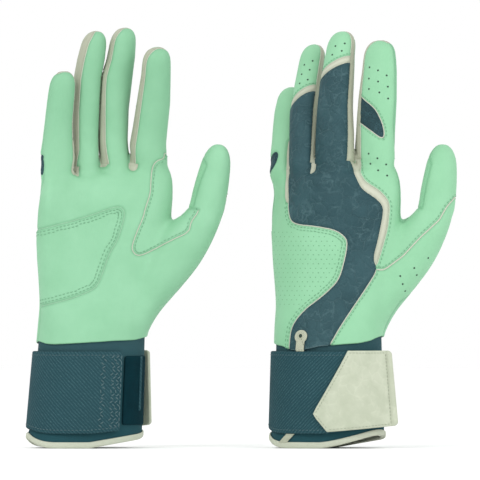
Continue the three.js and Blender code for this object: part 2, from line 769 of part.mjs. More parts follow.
// A point on the sleeve's outside, moved out by an offset. Angle zero is the thumb's side and a
// quarter turn the palm's.
function onSleeve(angle, z, offset) {
  const share = z / SLEEVE_HEIGHT;
  const halfWidth = lerp(SLEEVE_WIDTH_LOW, SLEEVE_WIDTH_HIGH, share) / 2 + offset;
  const halfDepth = lerp(SLEEVE_DEPTH_LOW, SLEEVE_DEPTH_HIGH, share) / 2 + offset;
  const [x, y] = superellipse(angle, halfWidth, halfDepth, CUFF_SQUARENESS);
  return new THREE.Vector3(x, y, z);
}

// The rim rises to both sides. It is flat in the middle of the palm and of the back, where it stands.
function rimHeight(angle) {
  const c = Math.cos(angle);
  return Math.max(0, (c > 0 ? RIM_RISE_RADIAL : RIM_RISE_ULNAR) * c * c - RIM_FLAT);
}

function sleeveRing(zAt, offset) {
  const ring = [];
  for (let i = 0; i < AROUND_CUFF; i++) {
    const angle = (i / AROUND_CUFF) * 2 * Math.PI;
    ring.push(onSleeve(angle, zAt(angle), offset));
  }
  return ring;
}

// A ring of sheet round the sleeve, between two heights and two offsets.
function sleeveBand(lowAt, highAt, inside, outside) {
  const low = [sleeveRing(lowAt, inside), sleeveRing(lowAt, outside)];
  const high = [sleeveRing(highAt, outside), sleeveRing(highAt, inside)];
  return loft([...low, ...high], true);
}

function cuffPieces() {
  const seat = (angle) => rimHeight(angle) + BINDING_WALL + SEAM_GAP;
  const sleeve = solid(sleeveBand(seat, () => SLEEVE_HEIGHT, -SLEEVE_WALL, 0));
  const cover = BINDING_WALL + SEAM_GAP;
  const top = (angle) => rimHeight(angle) + BINDING_HEIGHT;
  const fold = solid(sleeveBand(rimHeight, top, -SLEEVE_WALL - cover, cover));
  const grooveLow = (angle) => rimHeight(angle) + BINDING_WALL;
  const groove = solid(
    sleeveBand(grooveLow, () => SLEEVE_HEIGHT, -SLEEVE_WALL - SEAM_GAP, SEAM_GAP),
  );
  return { cuff_sleeve: sleeve, cuff_binding: fold.subtract(groove) };
}

// A piece of sheet bent round the sleeve from one angle to another.
function wrapped(startAngle, endAngle, lowAt, highAt, inside, outside, steps) {
  const rings = [];
  for (let i = 0; i <= steps; i++) {
    const angle = lerp(startAngle, endAngle, i / steps);
    const low = lowAt(angle);
    const high = highAt(angle);
    rings.push([
      onSleeve(angle, low, inside),
      onSleeve(angle, high, inside),
      onSleeve(angle, high, outside),
      onSleeve(angle, low, outside),
    ]);
  }
  return solid(loft(rings));
}

const STRAP_INSIDE = 2 * SEAM_GAP + TAPE_THICKNESS;
const STRAP_OUTSIDE = STRAP_INSIDE + STRAP_THICKNESS;
const TAB_INSIDE = STRAP_OUTSIDE + TAB_CLEARANCE;
// The strap's lower edge follows the rim by this share of the rim's rise.
const STRAP_RISE_SHARE = 0.6;

function strapPieces() {
  const strap = wrapped(
    degrees(STRAP_START_DEGREES),
    degrees(STRAP_END_DEGREES),
    (angle) => STRAP_LOW + rimHeight(angle) * STRAP_RISE_SHARE,
    () => STRAP_LOW + STRAP_HEIGHT,
    STRAP_INSIDE,
    STRAP_OUTSIDE,
    STRAP_STEPS,
  );
  const loopPatch = wrapped(
    degrees(LOOP_PATCH_START_DEGREES),
    degrees(LOOP_PATCH_END_DEGREES),
    () => LOOP_PATCH_LOW,
    () => LOOP_PATCH_LOW + LOOP_PATCH_HEIGHT,
    SEAM_GAP,
    SEAM_GAP + LOOP_PATCH_THICKNESS,
    LOOP_PATCH_STEPS,
  );
  return { wrist_strap: strap, loop_patch: loopPatch };
}

// The tab follows the back of the strap for a stretch and then runs straight on past the cuff's edge.
function tabPath(wrap) {
  const middle = STRAP_LOW + STRAP_HEIGHT / 2;
  const angles = [degrees(TAB_APEX_DEGREES)];
  const lengths = [0];
  let last = onSleeve(angles[0], middle, TAB_INSIDE);
  while (lengths.at(-1) < wrap) {
    angles.push(angles.at(-1) + degrees(TAB_STEP_DEGREES));
    const next = onSleeve(angles.at(-1), middle, TAB_INSIDE);
    lengths.push(lengths.at(-1) + next.distanceTo(last));
    last = next;
  }
  return (length, z, offset) => {
    const at = lengths.findIndex((reached) => reached > length);
    if (at > 0) {
      const share = (length - lengths[at - 1]) / (lengths[at] - lengths[at - 1]);
      return onSleeve(lerp(angles[at - 1], angles[at], share), z, TAB_INSIDE + offset);
    }
    const end = onSleeve(angles.at(-1), z, TAB_INSIDE + offset);
    const before = onSleeve(angles.at(-2), z, TAB_INSIDE);
    const run = onSleeve(angles.at(-1), z, TAB_INSIDE).sub(before).normalize();
    return end.addScaledVector(run, length - lengths.at(-1));
  };
}

// The tab is cut shorter towards its top, so that its free end stands at a slant.
function slanted(length, z) {
  const up = (z - TAB_LOW) / TAB_HEIGHT;
  return length - TAB_END_SLANT * up * (length / TAB_LENGTH) ** 2;
}

function sheetOnTab(wrap, lengths, lowAt, highAt, inside, outside) {
  const path = tabPath(wrap);
  const place = (length, z, offset) => path(slanted(length, z), z, offset);
  const rings = lengths.map((length) => {
    const low = lowAt(length);
    const high = highAt(length);
    return [
      place(length, low, inside),
      place(length, high, inside),
      place(length, high, outside),
      place(length, low, outside),
    ];
  });
  return solid(loft(rings));
}

function tabPieces(wrap) {
  const apex = TAB_LOW + TAB_APEX_HEIGHT;
  const low = (length) => {
    if (length < TAB_LOW_SETBACK) return lerp(apex, TAB_LOW, length / TAB_LOW_SETBACK);
    return TAB_LOW + (TAB_LOW_RISE * (length - TAB_LOW_SETBACK)) / (TAB_LENGTH - TAB_LOW_SETBACK);
  };
  const high = (length) => {
    const rise = Math.min(1, length / TAB_TOP_SETBACK);
    return lerp(apex + TAB_APEX_BLUNT, TAB_LOW + TAB_HEIGHT, rise);
  };
  const halfway = (TAB_LOW_SETBACK + TAB_TOP_SETBACK) / 2;
  const stops = [0, TAB_LOW_SETBACK / 2, TAB_LOW_SETBACK, halfway, TAB_TOP_SETBACK];
  for (let i = 1; i <= TAB_STEPS; i++) stops.push(lerp(TAB_TOP_SETBACK, TAB_LENGTH, i / TAB_STEPS));
  const hookLow = TAB_LOW + (TAB_HEIGHT - HOOK_HEIGHT) / 2;
  const hookEnd = TAB_LENGTH - HOOK_MARGIN;
  const hookStops = [];
  for (let i = 0; i <= HOOK_STEPS; i++) {
    hookStops.push(lerp(hookEnd - HOOK_LENGTH, hookEnd, i / HOOK_STEPS));
  }
  return {
    strap_tab: sheetOnTab(wrap, stops, low, high, 0, TAB_THICKNESS),
    hook_patch: sheetOnTab(
      wrap,
      hookStops,
      () => hookLow,
      () => hookLow + HOOK_HEIGHT,
      -SEAM_GAP - HOOK_THICKNESS,
      -SEAM_GAP,
    ),
  };
}

// The tape that rises from the rim under the strap and ends in an eyelet on the back of the hand.
function pullLoop() {
  const eyeletZ = HEM_HEIGHT + EYELET_RADIUS;
  const strapTop = STRAP_LOW + STRAP_HEIGHT;
  const onHem = LAP_CLEARANCE + LEATHER + SEAM_GAP;
  const half = TAPE_WIDTH / SLEEVE_WIDTH_LOW;
  const angleAt = (z) => {
    const x = lerp(TAPE_X_LOW, TAPE_X_HIGH, z / eyeletZ);
    return BACK_ANGLE + Math.asin(x / (SLEEVE_WIDTH_LOW / 2));
  };
  const lowZ = rimHeight(angleAt(0)) + BINDING_HEIGHT + 2 * SEAM_GAP;
  const stops = [
    [lowZ, SEAM_GAP],
    [strapTop, SEAM_GAP],
    [strapTop + onHem, onHem],
    [eyeletZ, onHem],
  ];
  const rings = stops.map(([z, inside]) => {
    const across = [angleAt(z) - half, angleAt(z), angleAt(z) + half];
    const outer = across.map((angle) => onSleeve(angle, z, inside + TAPE_THICKNESS));
    const inner = across.map((angle) => onSleeve(angle, z, inside));
    return [...outer, ...inner.reverse()];
  });
  const tape = solid(loft(rings));
  const middle = angleAt(eyeletZ);
  const eyelet = onSleeve(middle, eyeletZ, onHem + TAPE_THICKNESS / 2);
  const across = onSleeve(middle + half, eyeletZ, 0).sub(onSleeve(middle - half, eyeletZ, 0));
  const disc = (radius, thickness) => {
    const geometry = new THREE.CylinderGeometry(radius, radius, thickness, AROUND_EYELET);
    geometry.rotateZ(Math.atan2(across.y, across.x));
    geometry.translate(...eyelet);
    return solid(geometry);
  };
  return tape.add(disc(EYELET_RADIUS, TAPE_THICKNESS)).subtract(disc(EYELET_HOLE, OVERRUN));
}

// Materials

const WALLS = ["index_wall", "middle_wall", "ring_wall", "pinky_wall"];
const PALE = ["cuff_binding", "strap_tab", "pull_loop", ...WALLS];
const DARK = ["knuckle_overlay", "middle_back", "ring_back", "cuff_sleeve", "wrist_strap"];
const PILE = ["hook_patch", "loop_patch"];

function materialFor(name) {
  const finish = (color, roughness) => new THREE.MeshStandardMaterial({ color, roughness, metalness: 0 });
  if (PALE.includes(name)) return finish(CREAM, 0.75);
  if (DARK.includes(name)) return finish(TEAL, 0.7);
  if (PILE.includes(name)) return finish(DARK_PILE, 1);
  return finish(MINT, 0.6);
}

// Assembly

function glovePieces(side) {
  const digits = DIGIT_NAMES.map((name) => digitOf(side, name));
  const inner = cavity(digits);
  const pieces = {
    ...handPanels(digits, inner),
    ...palmPatches(digits),
    ...cuffPieces(),
    ...strapPieces(),
    ...tabPieces(TAB_WRAP[side]),
    pull_loop: pullLoop(),
  };
  for (const digit of digits) Object.assign(pieces, stallPanels(digit, inner));
  return pieces;
}

// One glove, sheared sideways by its lean so that its rim stays level.
function glove(side) {
  const lean = new THREE.Matrix4().makeShear(0, 0, 0, 0, Math.tan(degrees(LEAN_DEGREES[side])), 0);
  const group = new THREE.Group();
  for (const [name, piece] of Object.entries(glovePieces(side))) {
    const mesh = new THREE.Mesh(geometryOf(piece).applyMatrix4(lean), materialFor(name));
    mesh.name = `${side}_${name}`;
    group.add(mesh);
  }
  group.scale.y = MIRROR[side];
  group.rotation.z = -MIRROR[side] * degrees(YAW_DEGREES[side]);
  group.position.x = (MIRROR[side] * GLOVE_SPACING) / 2;
  return group;
}

// The pair stands on the ground, with the origin under the middle of its box.
const pair = new THREE.Group();
pair.add(glove("left"), glove("right"));
const box = new THREE.Box3().setFromObject(pair, true);
const middle = box.getCenter(new THREE.Vector3());
pair.position.set(-middle.x, -middle.y, -box.min.z);

export default pair;
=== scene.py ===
# A pair of batting gloves, standing on their cuffs: the left-hand glove shows its back and the
# right-hand glove shows its palm.
#
# Each glove's leather is one smooth skin in the glove's own hand frame (+X towards the thumb, +Y out
# of the palm, +Z along the fingers, in millimetres). Seams divide the skin into its panels, which are
# dished at the seams, raised where they are patches, stitched, and then placed in the row frame.
import math

import bmesh
import bpy
import numpy as np
from mathutils import Matrix, Vector
from mathutils.bvhtree import BVHTree
from mathutils.kdtree import KDTree


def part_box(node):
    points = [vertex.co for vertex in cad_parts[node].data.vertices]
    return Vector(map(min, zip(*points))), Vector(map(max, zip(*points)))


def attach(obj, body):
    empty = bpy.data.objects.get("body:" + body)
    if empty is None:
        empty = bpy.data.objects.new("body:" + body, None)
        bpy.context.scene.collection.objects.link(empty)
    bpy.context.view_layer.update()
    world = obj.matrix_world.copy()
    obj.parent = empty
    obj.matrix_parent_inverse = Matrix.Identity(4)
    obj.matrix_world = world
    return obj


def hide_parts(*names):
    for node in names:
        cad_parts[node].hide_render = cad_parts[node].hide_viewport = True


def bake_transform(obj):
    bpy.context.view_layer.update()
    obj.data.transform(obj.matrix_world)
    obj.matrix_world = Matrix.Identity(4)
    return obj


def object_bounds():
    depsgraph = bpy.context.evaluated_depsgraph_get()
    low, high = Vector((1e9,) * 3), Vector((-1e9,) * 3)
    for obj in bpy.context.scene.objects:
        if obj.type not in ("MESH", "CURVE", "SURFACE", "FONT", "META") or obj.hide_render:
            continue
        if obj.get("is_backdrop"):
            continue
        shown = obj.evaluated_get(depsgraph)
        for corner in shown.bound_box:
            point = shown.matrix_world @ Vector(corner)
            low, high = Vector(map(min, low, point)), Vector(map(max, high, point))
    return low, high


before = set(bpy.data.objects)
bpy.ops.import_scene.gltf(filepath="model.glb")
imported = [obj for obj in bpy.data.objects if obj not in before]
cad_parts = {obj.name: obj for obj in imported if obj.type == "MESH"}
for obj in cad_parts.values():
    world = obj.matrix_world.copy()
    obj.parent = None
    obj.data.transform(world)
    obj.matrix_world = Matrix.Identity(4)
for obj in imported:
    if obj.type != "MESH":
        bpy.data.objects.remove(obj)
cad_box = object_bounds()

MM = 0.001

# The photograph: millimetres to a pixel, its row of the ground and its column of the left glove's cuff
PIXEL = 0.64
GROUND_ROW = 448.0
LEFT_COLUMN = 329.0

# Sizes of the solids that the looks are fitted to
LEATHER = 1.2
LAP_CLEARANCE = 0.5
SEAM_GAP = 0.3
SLEEVE_WIDTHS = (72.0, 67.5)
SLEEVE_DEPTHS = (52.0, 49.0)
SLEEVE_HEIGHT = 76.0
SLEEVE_SQUARENESS = 2.15
RIM_RISE_ULNAR = 7.0
RIM_RISE_RADIAL = 10.0
RIM_RISE_PALM = 6.6
RIM_FLAT = 0.8
# How sharply the rim rises: to the thumb's side on the back and on the palm, and to the outer side
RIM_SHARPNESS = (1.35, 0.95)
RIM_SHARPNESS_ULNAR = 6
RIM_BLEND = 0.8
STRAP_LOW = 9.3
STRAP_TOP = 62.0
STRAP_RISE_SHARE = 0.6
STRAP_THICKNESS = 1.8
STRAP_ANGLES = (62.0, 300.0)
TAPE_THICKNESS = 1.0
STRAP_INSIDE = 2 * SEAM_GAP + TAPE_THICKNESS
STRAP_OUTSIDE = STRAP_INSIDE + STRAP_THICKNESS
TAB_CLEARANCE = 0.5
TAB_INSIDE = STRAP_OUTSIDE + TAB_CLEARANCE
TAB_THICKNESS = 1.6
TAB_APEX_ANGLE = 266.0
LOOP_ANGLES = (14.0, 57.0)
LOOP_LOW = 15.0
LOOP_TOP = 59.0
LOOP_THICKNESS = 1.0
EYELET_HOLE = 1.1

HEM_HEIGHT = 67.5
# The leather's lower edge: places across and heights, on the palm and on the back
HEM_PALM = np.array([
    (-39, 71.5), (-36, 69.4), (-31, 67.4), (-26, 67), (-8, 68), (12, 69.3), (26, 69.8), (33, 71.2),
    (39, 72.8),
])
HEM_BACK = np.array([
    (-39, 70), (-36, 67.8), (-31, 66.4), (-26, 65.8), (-21, 63.6), (-15, 62.9), (-8, 64), (0, 65.8),
    (13, 66.9), (25, 67.8), (31, 69.4), (35, 72), (39, 74.5),
])
# Over this depth the hem goes over from the back's line to the palm's
HEM_BLEND = 16.0
# The sleeve's low end stands out at the outer side: how far, below which height and over which
FLARE = 2.0
FLARE_TOP = 18.0
FLARE_RAMP = 12.0
FLARE_SPREAD = 1.3
HAND_SQUARENESS = 2.3
CROTCH_HEIGHT = 177.5
KNUCKLE_RISE = 8.0
PALM_WIDTH = 87.0
WRIST_WIDTH = 71.0
# The palm lies over to the thumb's side, which comes in at this rate with the hand's height
PALM_SHIFT = 2.7
PALM_SHIFT_RATE = 2.5
WRIST_DEPTH = 47.0
PALM_DEPTH = 35.0
KNUCKLE_DEPTH = 24.0
ARCH_ULNAR = 13.0
ARCH_RADIAL = 3.0
ARCH_REACH_SHARE = 0.74
ARCH_MOST = 1.2
# The knuckles close over this share of their height
KNUCKLE_CLOSE = 0.75
# The leather lies on the sleeve up to this share of the hand's height, and leaves it over the next
LAP_SHARE = 0.08
LAP_RAMP = 0.12
ROOT_ABOVE_CROTCH = 4.0
PINKY_ROOT_DROP = 4.0
DIGIT_SIDES = 40
DIGIT_SQUARENESS = 2.1
# Rings along a digit
DIGIT_STEPS = 32
# A stall's end is round over this share of its width, with rings at these turns
TIP_REACH = 0.6
TIP_TURNS = np.radians(np.linspace(9, 87, 11))
STUB_LENGTH = 30.0
STUB_SHARE = 0.3
# An outer finger keeps its width for a while below its root
HEEL_RINGS = {"index": (-12.0,), "pinky": (-20.0, -13.0, -6.0)}
HEEL_SHARE = 0.5
WALL_STRIP = 8.0
WALL_STRIP_TIP = 3.0
CURL = 5.0
THUMB_ROOT = np.array([67.5, 12.0, 152.0])
THUMB_HEEL = np.array([19.0, 3.0, 72.0])
GLOVE_SPACING = 156.0
FINGERS = ("index", "middle", "ring", "pinky")
DIGITS = {
    "index": dict(girth=62.0, length=78.0, taper=0.17),
    "middle": dict(girth=61.0, length=88.0, taper=0.17),
    "ring": dict(girth=57.0, length=87.5, taper=0.17),
    "pinky": dict(girth=54.0, length=67.0, taper=0.17),
    "thumb": dict(girth=70.0, length=43.0, taper=0.36),
}
CAP_LENGTH = {"middle": 29.6, "ring": 43.8}
CAP_SLANT = 11.0
# Each glove's stance, and of each digit: its root's place across, width, lean, dip and turn
POSES = {
    "left": dict(
        yaw=14.0, lean=0.0, mirror=1, tab_wrap=33.0,
        index=(31.0, 22.0, 0.5, 3.0, 20.0), middle=(4.1, 21.6, -6.2, 12.0, 20.0),
        ring=(-16.8, 19.6, -12.0, 22.0, 20.0), pinky=(-33.6, 17.6, -15.0, 26.0, 20.0),
        thumb=(None, 23.5, 8.5, 0.0, -25.0),
    ),
    "right": dict(
        yaw=6.0, lean=3.4, mirror=-1, tab_wrap=43.0,
        index=(33.2, 19.8, -6.2, 16.0, 12.0), middle=(11.6, 18.8, -3.6, 3.0, 12.0),
        ring=(-7.6, 17.2, -2.6, 3.0, 12.0), pinky=(-28.4, 19.5, -2.0, 3.0, 12.0),
        thumb=(None, 23.0, 9.5, 0.0, -15.0),
    ),
}
# Rings of the hand: height share from hem to crotch, width share, depth share and arch share
HAND_RINGS = np.array([
    (-0.12, 0, 1.0, 0), (0.08, 0, 1.0, 0), (0.2, 0.12, 0.74, 0.15), (0.36, 0.52, 0.34, 0.35),
    (0.55, 0.86, 0.05, 0.6), (0.72, 1.0, -0.3, 0.8), (0.86, 0.94, -0.66, 1), (0.94, 0.8, -0.95, 1),
    (0.98, 0.55, -1.3, 1), (1.0, 0.2, -1.7, 1),
])
# Rings of the thumb's base: share from heel to root, then width and depth shares
THUMB_RINGS = np.array([
    (0, 1.28, 1.33), (0.25, 1.06, 1.33), (0.45, 1.28, 1.38), (0.65, 1.45, 1.33), (0.85, 1.3, 1.19),
    (1.0, 1.0, 1.0),
])
# The places of the thumb's base rings that are built, from heel to root
THUMB_BASE_SHARES = np.linspace(0, 0.94, 18)

# How each stall's width and middle line leave the plain taper: length share, width share, shift across
SWELLS = {
    "left": {
        "index": [
            (0, 1.3, -1.9), (0.22, 1.26, -2.1), (0.5, 1.29, -2.1), (0.75, 1.22, -2.4), (0.87, 1.17, -3.2),
            (1, 1.19, -3.6),
        ],
        "middle": [
            (0, 1.28, -0.4), (0.07, 1.28, -0.5), (0.2, 1.27, -0.8), (0.42, 1.18, -1.6), (0.69, 1.14, -1.3),
            (0.82, 1.06, -0.8), (1, 1.05, 0),
        ],
        "ring": [
            (0, 0.98, -1.0), (0.1, 0.97, -1.3), (0.21, 0.97, -1.7), (0.45, 1.02, -3.0), (0.67, 1.02, -2.4),
            (0.85, 1, -1.5), (1, 1, -0.8),
        ],
        "pinky": [(0, 1.08, -0.2), (0.38, 1.06, -0.2), (0.73, 1.14, -1.2), (1, 1.1, -0.9)],
    },
    "right": {
        "index": [
            (0, 1.18, -3.6), (0.15, 1.2, -4.9), (0.3, 1.16, -3.9), (0.5, 1.15, -2.8), (0.75, 1.06, -2.4),
            (1, 1.05, -3.0),
        ],
        "middle": [
            (0, 1.0, -3.4), (0.06, 1.0, -4.2), (0.17, 1.01, -5.2), (0.4, 1.05, -5.1), (0.51, 1.12, -4.6),
            (0.64, 1.18, -3.9), (0.78, 1.08, -1.6), (1, 0.98, 0),
        ],
        "ring": [
            (0, 1.0, -3.0), (0.08, 0.99, -3.5), (0.19, 0.99, -4.1), (0.43, 1.08, -4.6), (0.66, 1.13, -4.3),
            (0.8, 1.17, -2.7), (0.9, 1.1, -1.6), (1, 1.0, -0.8),
        ],
        "pinky": [
            (0, 1.16, -1.4), (0.19, 1.17, -1.7), (0.33, 1.05, -1.7), (0.5, 0.98, -1.9), (0.75, 1, -1.4),
            (1, 1, -0.9),
        ],
    },
}
NO_SWELL = [(0, 1, 0), (1, 1, 0)]
# How much longer each glove's stalls lie
STRETCH = {
    "left": {"index": -0.8, "middle": 0.6, "ring": 1.3, "pinky": 0.5},
    "right": {"index": -1.4, "middle": -1.0, "ring": -0.9, "pinky": -0.4},
}
# How far the outer wall of a stall is turned to the palm at its root and tip, as it lies on each glove
WALL_SHIFT = {
    "left": {"index": (-4.4, -2.9)},
    "right": {"index": (1.2, 1.6), "middle": (3.0, 2.4), "ring": (2.4, 4.4)},
}
# How far below its root that turn goes on, and over which height it begins
WALL_LOW = {("left", "index"): 12, ("right", "middle"): 12}
WALL_RAMP = 12
# How much further round to the back that wall goes on
WALL_EXTRA = {"left": 0.0, "right": 4.5}
# How far apart the stalls are while the skin is made in one piece, and over which height they part
APART = {"index": 3.2, "middle": 0.6, "ring": -2.2, "pinky": -5.0, "thumb": 0.0}
APART_RAMP = 11.0
# A fingertip's bluntness: 2 is round
TIP_SQUARENESS = 2.5

# Fineness of the skin
VOXEL = 1.0
# Rounds of smoothing that keep the size: each goes in by the first strength and out by the second
SMOOTH_ROUNDS = 10
SMOOTH_IN = 0.5
SMOOTH_OUT = -0.52
# The fingers' forks are smoothed over this reach and this much, up to a place across; the whole hand
# is smoothed below a height, over a ramp
FORK_REACH = 13
FORK_SHARE = 0.9
FORK_LIMIT = 50
HAND_SMOOTH_TOP = 160
HAND_SMOOTH_RAMP = 30
FORK_ROUNDS = 30
HAND_ROUNDS = 40
# The fork of the thumb and the little finger's knuckle are smoothed more, over these reaches
THUMB_FORK = THUMB_ROOT - np.array([16.0, 2.0, 12.0])
THUMB_FORK_REACH = 30
PINKY_KNUCKLE = np.array([-42.0, 12.0, 172.0])
PINKY_KNUCKLE_REACH = 24


def lerp(a, b, t):
    return a + (b - a) * t


def smoothstep(t):
    t = np.clip(t, 0, 1)
    return t * t * (3 - 2 * t)


def along_curve(table, column, x):
    """The table's column as a smooth function of its first column, at x."""
    xs, ys = table[:, 0], table[:, column]
    slopes = np.gradient(ys, xs)
    i = int(np.clip(np.searchsorted(xs, x) - 1, 0, len(xs) - 2))
    h = xs[i + 1] - xs[i]
    t = (x - xs[i]) / h
    return (
        (2 * t**3 - 3 * t**2 + 1) * ys[i]
        + (t**3 - 2 * t**2 + t) * h * slopes[i]
        + (3 * t**2 - 2 * t**3) * ys[i + 1]
        + (t**3 - t**2) * h * slopes[i + 1]
    )


def superellipse(angle, half_width, half_depth, squareness):
    c, s = np.cos(angle), np.sin(angle)
    power = 2 / squareness
    return half_width * np.sign(c) * abs(c) ** power, half_depth * np.sign(s) * abs(s) ** power


def rotation(axis, degrees):
    return np.array(Matrix.Rotation(math.radians(degrees), 4, axis))


def translation(place):
    matrix = np.eye(4)
    matrix[:3, 3] = place
    return matrix


def moved(points, matrix):
    return points @ matrix[:3, :3].T + matrix[:3, 3]


# The hand's frame and the row frame

left_low, left_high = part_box("left_cuff_sleeve")
left_middle = (np.array(left_low) + np.array(left_high)) / 2 / MM
ORIGINS = {
    "left": np.array([left_middle[0], left_middle[1], 0.0]),
    "right": np.array([left_middle[0] - GLOVE_SPACING, left_middle[1], 0.0]),
}


def to_row(side):
    """The matrix from a glove's hand frame in millimetres to the row frame in metres."""
    pose = POSES[side]
    lean = np.eye(4)
    lean[0, 2] = math.tan(math.radians(pose["lean"]))
    mirror = np.diag([1.0, pose["mirror"], 1.0, 1.0])
    turn = rotation("Z", -pose["mirror"] * pose["yaw"])
    return np.diag([MM, MM, MM, 1.0]) @ translation(ORIGINS[side]) @ turn @ mirror @ lean


# Forms of the glove, in its hand frame


def on_sleeve(angle, z, offset):
    """Points on the sleeve's outside, moved out. Angle 0 is the thumb's side and 90 the palm's."""
    angle, z, offset = np.broadcast_arrays(np.asarray(angle, float), z, offset)
    share = z / SLEEVE_HEIGHT
    half_width = lerp(*SLEEVE_WIDTHS, share) / 2 + offset
    half_depth = lerp(*SLEEVE_DEPTHS, share) / 2 + offset
    x, y = superellipse(np.radians(angle), half_width, half_depth, SLEEVE_SQUARENESS)
    return np.stack([x, y, z], -1)


def rim_height(angle):
    """The cuff's rim slopes up to the thumb and turns up at the outer side."""
    c = np.cos(np.radians(angle))
    palm = smoothstep(np.sin(np.radians(angle)) * RIM_BLEND + 0.5)
    radial = lerp(RIM_RISE_RADIAL, RIM_RISE_PALM, palm) * abs(c) ** lerp(*RIM_SHARPNESS, palm)
    rise = np.where(c > 0, radial, RIM_RISE_ULNAR * abs(c) ** RIM_SHARPNESS_ULNAR)
    return np.maximum(0, rise - RIM_FLAT * c * c)


def flare(angle, z):
    """How far the sleeve's low end stands out at the outer side."""
    outward = smoothstep(-np.cos(np.radians(angle)) * FLARE_SPREAD)
    return FLARE * smoothstep((FLARE_TOP - z) / FLARE_RAMP) * outward


def hem_height(points):
    """The height of the leather's lower edge, on the palm and on the back."""
    palm = np.interp(points[:, 0], *HEM_PALM.T)
    back = np.interp(points[:, 0], *HEM_BACK.T)
    return lerp(back, palm, smoothstep(points[:, 1] / HEM_BLEND + 0.5))


def arch(x):
    """How far the knuckles' row bends to the palm at a place across the hand."""
    reach = PALM_WIDTH / 2 * ARCH_REACH_SHARE
    return np.where(x < 0, ARCH_ULNAR, ARCH_RADIAL) * np.minimum(ARCH_MOST, (x / reach) ** 2)


def hand_depth(share):
    """The hand's depth: 1 is the wrist, 0 the palm and -1 the knuckles, which close beyond that."""
    if share >= 0:
        return lerp(PALM_DEPTH, WRIST_DEPTH, share)
    if share >= -1:
        return lerp(PALM_DEPTH, KNUCKLE_DEPTH, -share)
    return KNUCKLE_DEPTH * math.sqrt(max(0, 1 - ((-share - 1) / KNUCKLE_CLOSE) ** 2))


def hand_rings(count=96, steps=46):
    angle = np.linspace(0, 360, count, endpoint=False)
    rings = []
    for height in np.linspace(HAND_RINGS[0, 0], 1, steps):
        z = lerp(HEM_HEIGHT, CROTCH_HEIGHT, height)
        lap = on_sleeve(angle, z, LAP_CLEARANCE + LEATHER)
        width = lerp(WRIST_WIDTH, PALM_WIDTH, float(np.clip(along_curve(HAND_RINGS, 1, height), 0, 1)))
        depth = hand_depth(float(np.clip(along_curve(HAND_RINGS, 2, height), HAND_RINGS[-1, 2], 1)))
        x, y = superellipse(np.radians(angle), width / 2, depth / 2, HAND_SQUARENESS)
        x = x + PALM_SHIFT * smoothstep(height * PALM_SHIFT_RATE)
        y = y + arch(x) * np.clip(along_curve(HAND_RINGS, 3, height), 0, 1)
        tilt = KNUCKLE_RISE * x / PALM_WIDTH * smoothstep(height)
        ring = np.stack([x, y, z + tilt], -1)
        rings.append(lerp(lap, ring, smoothstep((height - LAP_SHARE) / LAP_RAMP)))
    return rings


